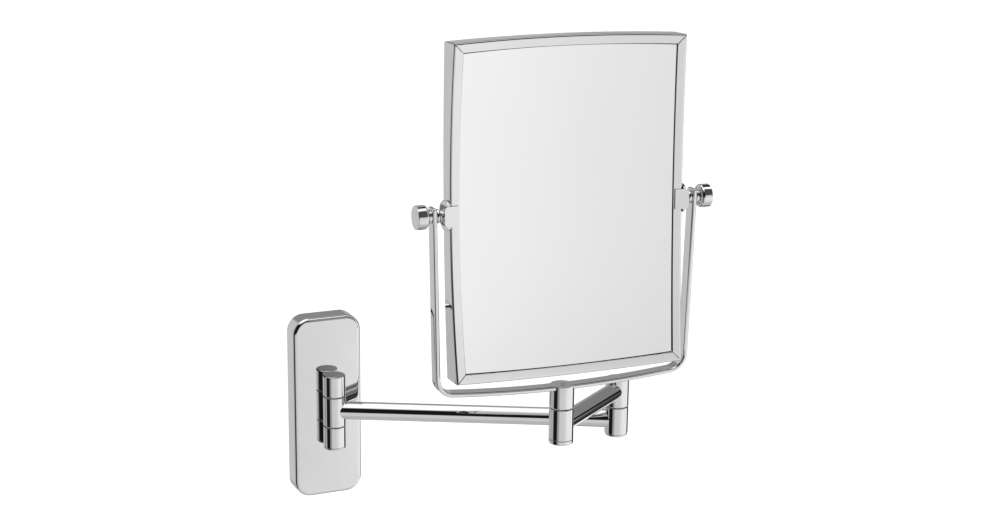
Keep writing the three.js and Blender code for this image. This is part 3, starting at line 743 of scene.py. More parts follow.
@dataclass
class WallMount(SubAssembly):
    """The pressed cover plate and the two fixed knuckles of the wall hinge.

    Attributes:
        corner: radius of the cover's corners.
        edge: rounding of its front edge.
        sheet: thickness of its wall.
        crown: how far its face rises to the middle.
        net: parts that the face is cut into, across and up.
        rolled_edge: rounding of its rear edge.
        knuckle: the knuckles' radius.
        crown_edge: rounding of the hinge's upper and lower end.
        foot: radius of a knuckle's foot.
        cap_inset: how much narrower the cap is than the knuckles.
        cap_seam: how far it ends under them.
    """

    corner: float = 11.0
    edge: float = 2.5
    sheet: float = 2.0
    crown: float = 0.4
    net: tuple[int, int] = (14, 36)
    rolled_edge: float = 0.3
    knuckle: float = WALL_KNUCKLE
    crown_edge: float = 0.7
    foot: float = 3.0
    cap_inset: float = 0.1
    cap_seam: float = 0.15

    def build(self) -> None:
        """Models and fits every visible piece of the wall mount."""
        self.cover()
        self.fixed_knuckle("upper", self.crown_edge)
        self.fixed_knuckle("lower", SPLIT_EDGE)
        self.cap()

    def cover(self) -> None:
        """Presses the cover: a rounded box, open behind, with one sheet's wall."""
        low, high = (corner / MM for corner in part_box("wall_plate"))
        cover = block("wall_cover", low, high)
        pick("EDGE", lambda ends: abs(ends[0].y - ends[1].y) > 1)
        bpy.ops.mesh.bevel(offset=self.corner * MM, segments=20, profile=0.5)
        pick("EDGE", lambda ends: all(on_level(p.y, low.y) for p in ends))
        bpy.ops.mesh.bevel(offset=self.edge * MM, segments=8, profile=0.5)
        pick("FACE", lambda corners: all(on_level(p.y, high.y) for p in corners))
        bpy.ops.mesh.delete(type="FACE")
        self.crown_face(low, high)
        close_mesh()
        sheet = cover.modifiers.new("sheet", "SOLIDIFY")
        sheet.thickness = self.sheet * MM
        sheet.offset = -1
        apply_all(cover)
        round_edges(cover, self.rolled_edge, 2)
        settle(cover, Matrix.Translation(-self.place.translation))
        self.fit(cover, ["wall_plate"], CHROME)

    def crown_face(self, low: Vector, high: Vector) -> None:
        """Cuts the front face into a net and lets it rise to its middle, as a pressing does.

        Args:
            low: the cover's lowest corner in millimetres.
            high: its highest corner.
        """
        for axis, cuts in zip((0, 2), self.net):
            normal = Vector((0, 0, 0))
            normal[axis] = 1
            for cut in range(1, cuts):
                pick("FACE", lambda corners: all(on_level(p.y, low.y) for p in corners))
                level = low[axis] + (high[axis] - low[axis]) * cut / cuts
                bpy.ops.mesh.bisect(plane_co=normal * level * MM, plane_no=normal)
        bpy.ops.object.mode_set(mode="OBJECT")
        half_wide, half_tall = (high.x - low.x) / 2 - self.edge, (high.z - low.z) / 2 - self.edge
        for corner in bpy.context.active_object.data.vertices:
            across = 1 - (corner.co.x / MM / half_wide) ** 2
            along = 1 - (corner.co.z / MM / half_tall) ** 4
            if on_level(corner.co.y / MM, low.y) and across > 0 and along > 0:
                corner.co.y -= self.crown * across * along * MM
        bpy.ops.object.mode_set(mode="EDIT")

    def fixed_knuckle(self, level: str, head_edge: float) -> None:
        """Turns a fixed knuckle and sets it on its short foot.

        Args:
            level: upper or lower.
            head_edge: rounding of its upper edge.
        """
        node = f"{level}_wall_knuckle"
        low, high = heights(node)
        body = turn_upright(node, barrel(self.knuckle, low, high, SPLIT_EDGE, head_edge))
        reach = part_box(node)[1].y / MM - self.place.translation.y / MM
        profile = barrel(self.foot, 0, reach, HIDDEN_EDGE, HIDDEN_EDGE)
        foot = turn_upright("foot", profile, COARSE_TURN)
        middle = Matrix.Translation((0, 0, (low + high) / 2 * MM))
        settle(foot, middle @ turned(-90, "X"))
        self.fit(joined(f"{level}_fixed_knuckle", [body, foot]), [node])

    def cap(self) -> None:
        """Turns the cap under the hinge, its lower edge well rounded."""
        bottom = heights("wall_hinge_cap")[0]
        top = heights("lower_wall_knuckle")[0] - self.cap_seam
        radius = self.knuckle - self.cap_inset
        profile = barrel(radius, bottom, top, self.crown_edge, HIDDEN_EDGE)
        self.fit(turn_upright("hinge_cap", profile), ["wall_hinge_cap"])


@dataclass
class Arm(SubAssembly):
    """A tube between two knuckles, modelled with the tube along X.

    Attributes:
        prefix: the arm's name.
        length: distance between its two axes, in millimetres.
        level: height of the tube's centre.
        start: name and radius of the knuckle at its start.
        end: name and radius of the knuckle at its end.
        cap: the frame's cap node under the end knuckle.
        cap_inset: how much narrower the cap is than its knuckle.
        cap_edge: rounding of the cap's lower edge.
        cap_seam: how far the cap ends under its knuckle.
        top_edge: rounding of the start knuckle's upper edge.
        tube: the tube's radius.
    """

    prefix: str = ""
    length: float = 0.0
    level: float = 0.0
    start: tuple[str, float] = ("", 0.0)
    end: tuple[str, float] = ("", 0.0)
    cap: str = ""
    cap_inset: float = 0.0
    cap_edge: float = 0.8
    cap_seam: float = 0.25
    top_edge: float = SPLIT_EDGE
    tube: float = 6.0

    def build(self) -> None:
        """Models and fits the arm's tube, knuckles and cap."""
        near, far = self.start[1] / 2, self.length - self.end[1] / 2
        profile = barrel(self.tube, near, far, HIDDEN_EDGE, HIDDEN_EDGE)
        tube = turn_across(f"{self.prefix}_drawn_tube", profile)
        settle(tube, Matrix.Translation((0, 0, self.level * MM)))
        self.fit(tube, [f"{self.prefix}_tube"], DRAWN_CHROME)
        self.knuckle(*self.start, 0.0, self.top_edge)
        self.knuckle(*self.end, self.length, SPLIT_EDGE)
        self.end_cap()

    def knuckle(self, node: str, radius: float, along: float, top_edge: float) -> None:
        """Turns one knuckle.

        Args:
            node: the frame node that it stands for.
            radius: its radius.
            along: its axis along the arm.
            top_edge: rounding of its upper edge.
        """
        low, high = heights(node)
        piece = turn_upright(f"{node}_turned", barrel(radius, low, high, SPLIT_EDGE, top_edge))
        settle(piece, Matrix.Translation((along * MM, 0, 0)))
        self.fit(piece, [node])

    def end_cap(self) -> None:
        """Turns the cap under the end knuckle."""
        bottom = heights(self.cap)[0]
        top = heights(self.end[0])[0] - self.cap_seam
        radius = self.end[1] - self.cap_inset
        profile = barrel(radius, bottom, top, self.cap_edge, HIDDEN_EDGE)
        piece = turn_upright(f"{self.cap}_turned", profile)
        settle(piece, Matrix.Translation((self.length * MM, 0, 0)))
        self.fit(piece, [self.cap])


@dataclass
class Yoke(SubAssembly):
    """The bent strip around the mirror, its post and the screw through both.

    Attributes:
        sag: how far the bar's middle hangs below its ends.
        draft: how far each arm leans out, from the bar to the pivot.
        edge: rounding of the strip's edges across its thickness.
        nose: the same rounding across its depth.
        tip_round: the rounded tips' radius, as a share of the strip's depth.
        key: radius of the screw's key hole.
    """

    thickness: float = 2.8
    depth: float = 9.5
    bend: float = 10.5
    sag: float = 4.3
    draft: float = 2.7
    pivot_level: float = 159.5
    edge: float = 1.0
    nose: float = 1.4
    tip_round: float = 0.49
    post_edge: float = 0.35
    post_sink: float = 0.05
    screw: float = 2.6
    screw_edge: float = 0.4
    screw_rim: float = 0.9
    screw_face: float = 0.45
    key: float = 1.0

    def build(self) -> None:
        """Models and fits the strip, the post and the screw head."""
        self.strip()
        self.post_top()
        self.screw_head()

    def strip(self) -> None:
        """Bends the strip: a section is run down one arm, spun round the bend and along the bar."""
        reach = (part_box("yoke_strip")[1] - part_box("yoke_strip")[0]).x / MM / 2
        top = heights("yoke_strip")[1]
        floor = heights("yoke_socket")[1]
        half = self.thickness / 2
        across, along = (abs(part) for part in joint_axis("mirror_tilt").xy)
        arm_end = (reach - self.depth / 2 * along) / across - half
        lean = self.draft / (self.pivot_level - floor)
        arm_foot = arm_end - lean * (top - floor)
        slope = math.hypot(1, lean)
        bar = (arm_foot ** 2 + self.sag ** 2) / (2 * self.sag)
        bar_level = floor - half + bar
        # The bend's centre lies one radius inside the arm's line and inside the bar's arc.
        inside = arm_foot - lean * floor - self.bend * slope
        b = (inside * lean - bar_level) / slope ** 2
        c = (inside ** 2 + bar_level ** 2 - (bar - self.bend) ** 2) / slope ** 2
        bend_level = -b - math.sqrt(b ** 2 - c)
        bend_out = inside + lean * bend_level
        first = math.atan(-lean)
        last = math.atan2(bend_level - bar_level, bend_out)

        select_only()
        place = (arm_end * MM, 0, top * MM)
        bpy.ops.mesh.primitive_plane_add(size=1, location=place)
        strip = open_mesh("yoke_bent_strip")
        size = (self.thickness * MM, self.depth * MM, 1)
        bpy.ops.transform.resize(value=size, center_override=place)
        out = bend_out + self.bend * math.cos(first) - arm_end
        down = bend_level + self.bend * math.sin(first) - top
        run = (out * MM, 0, down * MM)
        bpy.ops.mesh.extrude_region_move(TRANSFORM_OT_translate={"value": run})
        for steps, angle, centre in (
            (16, last - first, (bend_out * MM, 0, bend_level * MM)),
            (48, -math.pi / 2 - last, (0, 0, bar_level * MM)),
        ):
            bpy.ops.mesh.spin(steps=steps, angle=angle, center=centre, axis=(0, 1, 0))
        pick("FACE", lambda corners: all(abs(p.x) < 5 * TOUCH for p in corners))
        bpy.ops.mesh.delete(type="FACE")
        pick("EDGE", lambda ends: all(p.z > top - 0.5 for p in ends)
             and abs(ends[0].x - ends[1].x) > half)
        bpy.ops.mesh.bevel(offset=self.depth * self.tip_round * MM, segments=14, profile=0.5)
        close_mesh()
        settle(strip, Matrix.Identity(4))
        twin = strip.modifiers.new("other_half", "MIRROR")
        twin.use_axis = (True, False, False)
        twin.merge_threshold = 2 * TOUCH * MM
        apply_all(strip)
        settle(strip, Matrix.Scale(self.edge / self.nose, 4, (0, 1, 0)))
        round_edges(strip, self.edge, 7)
        settle(strip, Matrix.Scale(self.nose / self.edge, 4, (0, 1, 0)))
        self.fit(strip, ["yoke_strip"], CHROME)

    def post_top(self) -> None:
        """Turns the post that the strip is let into, its top level with the strip."""
        low, high = heights("yoke_socket")
        profile = barrel(KNUCKLE, low, high - self.post_sink, SPLIT_EDGE, self.post_edge)
        self.fit(turn_upright("yoke_post", profile), ["yoke_socket"])

    def screw_head(self) -> None:
        """Turns the low head of the screw, with a shallow key hole sunk in it."""
        base = heights("yoke_socket")[1]
        face = base + self.screw_face
        head = turn_upright("yoke_screw_head", [
            (self.screw, base - 1),
            *quarter((self.screw - self.screw_edge, base), self.screw_edge, 0),
            (self.screw - self.screw_rim, face), (self.key, face),
            (self.key - HIDDEN_EDGE, base - HIDDEN_EDGE),
        ], COARSE_TURN)
        self.fit(head, ["yoke_screw"], slot="zinc_steel")


@dataclass
class MirrorHead(SubAssembly):
    """The framed mirror with its two side clamps and collars, about the middle of its pivots.

    The mirror looks along -Y, and its dished front has one large radius.

    Attributes:
        side_bow: how far the upright sides stand out at their middle.
        end_bow: the same for the top and the bottom.
        back: distance from the pivots to the back.
        face: width of the frame's front.
        rear_face: width of its back.
        wall: its thickness at the sides.
        lip: its thickness in front and behind.
        outer_edge: rounding of its outer front edge.
        inner_edge: rounding of its other edges.
        glass_sink: how deep the dished glass lies behind the frame's front.
        glass_gap: space between each glass and the frame's walls.
        panes: thickness of the dished and of the plain glass, as they are seen.
        rear_sink: how far the plain glass's front lies before the back.
        bead: width of the dark bead of painted shade that is seen at the glass's edge.
        bead_tuck: how far the bead reaches under the frame.
        bead_rise: how far it climbs up the frame.
        mitre: half the gap at the frame's corners.
        overrun: how far a side is swept past its mitres before they are cut.
        disc_out: the side disc's inner and outer face, from the middle.
        tab_out: the front tab's outer end.
        tab_corners: rounding of the front and of the rear tab's outer corners.
        seat: how far the tabs stand off the frame.
        disc_seat: how far the disc stands off the frame's side.
        weld: how far the clamp's bridge runs into both tabs.
        flange: radius of the collar's foot.
        neck: radius of its narrow neck.
        ball: radius of its round bead.
        collar_out: the collar's outer end.
    """

    width: float = 150.0
    height: float = 204.0
    side_bow: float = 1.4
    end_bow: float = 2.1
    dish: float = 880.0
    back: float = 6.75
    depth: float = 17.5
    face: float = 6.0
    rear_face: float = 5.0
    wall: float = 1.6
    lip: float = 0.8
    outer_edge: float = 1.35
    inner_edge: float = 0.25
    glass_sink: float = 1.1
    glass_gap: float = 0.5
    panes: tuple[float, float] = (1.2, 2.2)
    rear_sink: float = 3.3
    bead: float = 0.3
    bead_tuck: float = 0.2
    bead_rise: float = 0.3
    mitre: float = 0.12
    overrun: float = 1.0
    disc: float = 9.25
    disc_edge: float = 0.45
    disc_out: tuple[float, float] = (76.7, 78.4)
    tab_height: float = 12.5
    tab_lap: float = 5.2
    tab: float = 1.0
    tab_out: float = 80.2
    tab_corners: tuple[float, float] = (2.6, 1.5)
    seat: float = 0.05
    disc_seat: float = 0.3
    weld: float = 0.2
    flange: float = 4.0
    neck: float = 3.3
    ball: float = 1.35
    collar_out: float = 84.15

    @property
    def pole(self) -> float:
        """How far the deepest point of the dish lies in front of the pivots."""
        return self.depth - self.back - self.rise(math.hypot(self.width, self.height) / 2)

    def rise(self, reach: float) -> float:
        """How far the dish rises at a distance from its deepest point."""
        return self.dish - math.sqrt(self.dish ** 2 - reach ** 2)

    def build(self) -> None:
        """Models and fits the frame, the two glasses and the pieces at the sides."""
        self.frame_pieces()
        self.glasses()
        self.painted_shade_bead()
        for side, sign in (("right", 1), ("left", -1)):
            self.clamp(side, sign)
            self.collar(side, sign)

    def follow_dish(self, piece: bpy.types.Object) -> None:
        """Carries what lies in front of the pivots forward by the rise of the dish.

        Args:
            piece: a piece modelled as if the dish were flat, out of edit mode.
        """
        for corner in piece.data.vertices:
            if corner.co.y < 0:
                corner.co.y -= self.rise(math.hypot(corner.co.x, corner.co.z) / MM) * MM

    def section(self, name: str, out: float) -> bpy.types.Object:
        """Draws the folded section of the frame at its outer face, lying in X and Y.

        Args:
            name: the piece's name.
            out: distance of its outer face from the middle.

        Returns:
            The section, in edit mode.
        """
        front, inner = -self.pole, out - self.wall
        outline = (
            (out, front), (out, self.back), (out - self.rear_face, self.back),
            (out - self.rear_face, self.back - self.lip), (inner, self.back - self.lip),
            (inner, front + self.lip), (out - self.face, front + self.lip),
            (out - self.face, front),
        )
        piece = outlined(name, outline)
        pick("VERT", lambda ends: on_level(ends[0].x, out) and on_level(ends[0].y, front))
        bpy.ops.mesh.bevel(
            offset=self.outer_edge * MM, segments=6, profile=0.5, affect="VERTICES",
        )
        return piece

    def bowed(self, piece: bpy.types.Object, half: float, bow: float, out: float) -> None:
        """Sweeps an open section along a shallow arc about the Y axis, cuts its mitres, closes it.

        Args:
            piece: the section, in edit mode; not used.
            half: half of the outline's length at its corners.
            bow: how far the arc stands out at its middle.
            out: distance of the arc's middle from the middle of the mirror.
        """
        radius = (half ** 2 + bow ** 2) / (2 * bow)
        centre = ((out - radius) * MM, 0, 0)
        sweep = 2 * math.asin((half + self.overrun) / radius)
        bpy.ops.mesh.select_all(action="SELECT")
        bpy.ops.transform.rotate(
            value=-sweep / 2, orient_axis="Y", center_override=centre,
        )
        bpy.ops.mesh.select_all(action="SELECT")
        bpy.ops.mesh.spin(steps=48, angle=sweep, center=centre, axis=(0, 1, 0))
        for sign in (-1, 1):
            bpy.ops.mesh.select_all(action="SELECT")
            corner = ((out - bow) * MM, 0, sign * half * MM)
            normal = Vector((-1, 0, sign)).normalized()
            inside = Vector(corner) - normal * self.mitre * MM
            bpy.ops.mesh.bisect(
                plane_co=inside, plane_no=normal, use_fill=True, clear_outer=True,
            )
        close_mesh()

    def sides(self, inset: float) -> list[tuple[float, float, float, float]]:
        """Lists the right, top, left and bottom side of an outline inside the frame's own.

        Args:
            inset: how far inside it lies.

        Returns:
            For each side its turn in degrees from the right, half its length at the corners,
            its bow, and the distance of its middle from the middle of the mirror.
        """
        wide, tall = self.width / 2 - inset, self.height / 2 - inset
        upright = (tall, self.side_bow, wide + self.side_bow)
        level = (wide, self.end_bow, tall + self.end_bow)
        return [(0, *upright), (-90, *level), (180, *upright), (90, *level)]

    def frame_pieces(self) -> None:
        """Makes each side of the frame standing on the right, and turns it to its place."""
        names = ("right_stile", "top_rail", "left_stile", "bottom_rail")
        for name, (turn, half, bow, out) in zip(names, self.sides(0)):
            piece = self.section(f"frame_{name}_folded", out)
            self.bowed(piece, half, bow, out)
            settle(piece, turned(turn, "Y"))
            self.follow_dish(piece)
            round_edges(piece, self.inner_edge, 2)
            self.fit(piece, [f"frame_{name}"], CHROME)

    def glasses(self) -> None:
        """Grinds the dished glass in front and the plain glass behind, both seen as silver."""
        inset = self.wall + self.glass_gap
        size = ((self.width - 2 * inset) * MM, (self.height - 2 * inset) * MM, 1)
        for name, front, thickness, node in (
            ("dished_mirror_glass", self.glass_sink - self.pole, self.panes[0], "magnifying_glass"),
            ("plain_mirror_glass", self.back - self.rear_sink, self.panes[1], "plain_glass"),
        ):
            select_only()
            bpy.ops.mesh.primitive_grid_add(x_subdivisions=60, y_subdivisions=80, size=1)
            glass = open_mesh(name)
            bpy.ops.transform.resize(value=size, center_override=(0, 0, 0))
            bpy.ops.transform.rotate(
                value=math.radians(90), orient_axis="X", center_override=(0, 0, 0),
            )
            bpy.ops.transform.translate(value=(0, front * MM, 0))
            step = (0, thickness * MM, 0)
            bpy.ops.mesh.extrude_region_move(TRANSFORM_OT_translate={"value": step})
            close_mesh()
            settle(glass, Matrix.Identity(4))
            self.follow_dish(glass)
            self.fit(glass, [node], SILVER, "silvered_glass")

    def painted_shade_bead(self) -> None:
        """Runs a dark bead of painted shade in the angle between the frame's lip and the dished
        glass.
        """
        glass = -self.pole + self.glass_sink
        above, below = glass - HIDDEN_EDGE, glass + HIDDEN_EDGE
        runs = []
        for turn, half, bow, out in self.sides(self.face):
            under, inner = out + self.bead_tuck, out - self.bead
            run = outlined("bead", (
                (under, glass - self.bead_rise), (under, below), (inner, below), (inner, above),
                (out - HIDDEN_EDGE, glass - self.bead_rise),
            ))
            self.bowed(run, half, bow, out)
            settle(run, turned(turn, "Y"))
            self.follow_dish(run)
            runs.append(run)
        # The dark bead is painted shade: it stands for the shade where the glass's edge lies under
        # the lip.
        self.fit(joined("edge_sealing_bead", runs), [], PAINTED_EDGE_SHADE, "silvered_glass")

    def clamp(self, side: str, sign: int) -> None:
        """Presses the side disc with its tabs over the front and the back of the frame.

        Args:
            side: right or left.
            sign: 1 for the right side, -1 for the left.
        """
        inner = self.disc_out[0] - self.disc_seat - self.tab_lap
        low, high = self.disc_out
        half = self.tab_height / 2
        front = -self.pole - self.rise(high)
        disc = turn_across("disc", barrel(self.disc, low, high, 2 * HIDDEN_EDGE, self.disc_edge))
        bpy.ops.object.mode_set(mode="EDIT")
        bpy.ops.mesh.select_all(action="SELECT")
        bpy.ops.mesh.bisect(
            plane_co=(0, (front - self.tab / 2) * MM, 0), plane_no=(0, -1, 0), use_fill=True,
            clear_outer=True,
        )
        close_mesh()
        near_level = -self.pole - self.tab - self.seat
        near = self.tab_piece(inner, self.tab_out, near_level, self.tab_corners[0])
        self.follow_dish(near)
        far = self.tab_piece(inner, high, self.back + self.seat, self.tab_corners[1])
        bridge = block(
            "bridge", (low, front - self.weld, -half), (high, self.back + self.weld, half),
        )
        close_mesh()
        clamp = joined(f"{side}_side_clamp", [disc, near, far, bridge])
        round_edges(clamp, self.inner_edge, 3)
        settle(clamp, turned(90 - 90 * sign, "Z"))
        if sign < 0:
            self.unturn_front(clamp)
        self.fit(clamp, [f"{side}_frame_clamp"], CHROME)

    def tab_piece(
        self, inner: float, outer: float, level: float, corner: float,
    ) -> bpy.types.Object:
        """Cuts one tab of a clamp, the corners of its outer end rounded.

        Args:
            inner: where it ends over the frame, from the middle of the mirror.
            outer: where it ends outside.
            level: its front face.
            corner: rounding of its outer corners.

        Returns:
            The tab, out of edit mode.
        """
        half = self.tab_height / 2
        tab = block("tab", (inner, level, -half), (outer, level + self.tab, half))
        pick("EDGE", lambda ends: all(on_level(p.x, outer) for p in ends)
             and abs(ends[0].y - ends[1].y) > self.tab / 2)
        bpy.ops.mesh.bevel(offset=corner * MM, segments=10, profile=0.5)
        close_mesh()
        return tab

    def unturn_front(self, piece: bpy.types.Object) -> None:
        """Swaps front and back of a piece that was turned half round to the left side.

        Args:
            piece: the piece, out of edit mode.
        """
        settle(piece, Matrix.Scale(-1, 4, (0, 1, 0)))
        bpy.context.view_layer.objects.active = piece
        bpy.ops.object.mode_set(mode="EDIT")
        close_mesh()

    def collar(self, side: str, sign: int) -> None:
        """Turns the collar between the clamp and the yoke, a narrow neck and a round bead.

        Args:
            side: right or left.
            sign: 1 for the right side, -1 for the left.
        """
        # A flange, a short cone, the neck, and the bead as two quarter rounds.
        start = self.disc_out[1] - HIDDEN_EDGE
        ball_centre = (self.neck - 0.35, self.collar_out - self.ball)
        collar = turn_across(f"{side}_turned_collar", [
            (self.flange, start), (self.flange, start + 0.5),
            (self.neck, start + 0.8), (self.neck, start + 1.6),
            *quarter(ball_centre, self.ball, -90, 7)[1:],
            *quarter(ball_centre, self.ball, 0, 7)[1:],
        ])
        settle(collar, turned(90 - 90 * sign, "Z"))
        self.fit(collar, [f"{side}_pivot_collar"])


@dataclass
class PivotKnob(SubAssembly):
    """A turned clamping knob and the washer under it, about the pivot line.

    Attributes:
        side: right or left.
        radius: the knob's radius.
        neck: radius of its inner end.
        start: its inner end, from the middle of the mirror.
        end: its outer end.
        foot: length of the neck before the rounded shoulder.
        shoulder: radius of that shoulder.
        rim: rounding of the outer edge.
        washer: radius of the washer.
        washer_length: how far the washer stands out of the neck.
    """

    side: str = "right"
    radius: float = 7.3
    neck: float = 4.8
    start: float = 88.7
    end: float = 96.6
    foot: float = 0.9
    shoulder: float = 2.3
    rim: float = 0.35
    washer: float = 4.2
    washer_length: float = 1.6

    def build(self) -> None:
        """Models and fits the knob and its washer."""
        # The neck's cone, an oval shoulder, the straight grip and the rounded rim.
        level = self.start + self.foot
        knob = turn_across(f"{self.side}_turned_knob", [
            (self.neck - 0.2, self.start), (self.neck, self.start + 0.2), (self.neck + 0.5, level),
            *[(self.radius - self.shoulder * (1 - math.sin(t)) * 0.9,
               level + self.shoulder * (1 - math.cos(t)) * 0.8)
              for t in (math.radians(18 * i) for i in range(1, 6))],
            *quarter((self.radius - self.rim, self.end - self.rim), self.rim, 0),
        ])
        washer = turn_across(f"{self.side}_neck_ring", barrel(
            self.washer, self.start - self.washer_length, self.start + HIDDEN_EDGE, 0.3,
            HIDDEN_EDGE,
        ))
        half_turn = turned(0 if self.side == "right" else 180, "Z")
        for piece, node in ((knob, "knob"), (washer, "neck_washer")):
            settle(piece, half_turn)
            self.fit(piece, [f"{self.side}_{node}"])


def dress_frame_nodes() -> None:
    """Gives every frame node that stays in view its own finish."""
    finishes = {
        ZINC: ("screw", "pin", "stud", "bracket", "backing"),
        BRASS: ("bush",),
        NYLON: ("washer", "yoke_bush"),
        HARDBOARD: ("core_board",),
    }
    for name, node in frame["nodes"].items():
        if node.hide_render:
            continue
        chosen = ZINC
        for finish, words in finishes.items():
            if any(word in name for word in words):
                chosen = finish
        for slot in node.material_slots:
            slot.material = chosen.material()
        log.info("%s keeps the frame's shape, in %s", name, chosen.name)


# ---------------------------------------------------------------- studio


@dataclass(frozen=True)
class SoftPanel:
    """A soft-edged patch of the studio, in directions as seen from the mirror.

    Attributes:
        start: its left side, in degrees to the camera's right of the camera.
        end: its right side.
        low: its lower edge above the horizon, in degrees.
        high: its upper edge above the horizon, in degrees.
        tone: its brightness.
        fade: how far its sides fade, in degrees.
        blur: how far its lower and upper edges fade, in degrees.
    """

    start: float
    end: float
    low: float
    high: float
    tone: float
    fade: float = 8.0
    blur: float = 6.0


TENT = (
    # The pale sweep on the floor, brightest in front to the right.
    SoftPanel(-180, 180, -90, -42, 0.60, blur=20),
    SoftPanel(-40, 0, -60, -2, 0.36, fade=10, blur=20),
    SoftPanel(-22, 116, -60, 2, 0.76, fade=20, blur=20),
    SoftPanel(26, 114, -50, -1, 0.86, fade=30, blur=14),
    SoftPanel(49, 108, -40, -1, 1.06, fade=22, blur=14),
    # The white overhead cloth.
    SoftPanel(-180, 180, 55, 90, 1.45, blur=6),
    # The dim room behind the cloth's front edge.
    SoftPanel(18, 87, 11, 65, 0.085, fade=8, blur=6),
    SoftPanel(-46, 24, -10, 47, 0.010, fade=18, blur=10),
    # The flag at the left, black from the floor to the cloth.
    SoftPanel(-81, -40, -50, 50, 0.012, fade=5),
    # The grey cloths at the left and behind.
    SoftPanel(-128, -82, -44, 40, 0.50, fade=6),
    SoftPanel(-141, -127, -44, 40, 0.66, fade=4),
    SoftPanel(-180, -143, -44, 5, 0.42, fade=5),
    SoftPanel(150, 180, -44, 5, 0.42, fade=5),
    SoftPanel(118, 152, -44, 6, 0.08, fade=4),
    SoftPanel(142, 178, -66, -40, 0.08, fade=6, blur=4),
    SoftPanel(110, 180, 9, 42, 0.26, fade=16),
    SoftPanel(-180, -142, 6, 44, 0.30, fade=6),
    # Narrow strip lights, and the dark frames beside them.
    SoftPanel(108, 116, -50, 6, 1.4, fade=3),
    SoftPanel(114, 134, -4, 9, 0.010, fade=5, blur=4),
    SoftPanel(118, 150, -29, -20, 0.015, fade=5, blur=4),
    SoftPanel(140, 172, -38, -30, 1.1, fade=6, blur=3),
    SoftPanel(133, 172, 40, 76, 0.008, fade=5, blur=5),
)


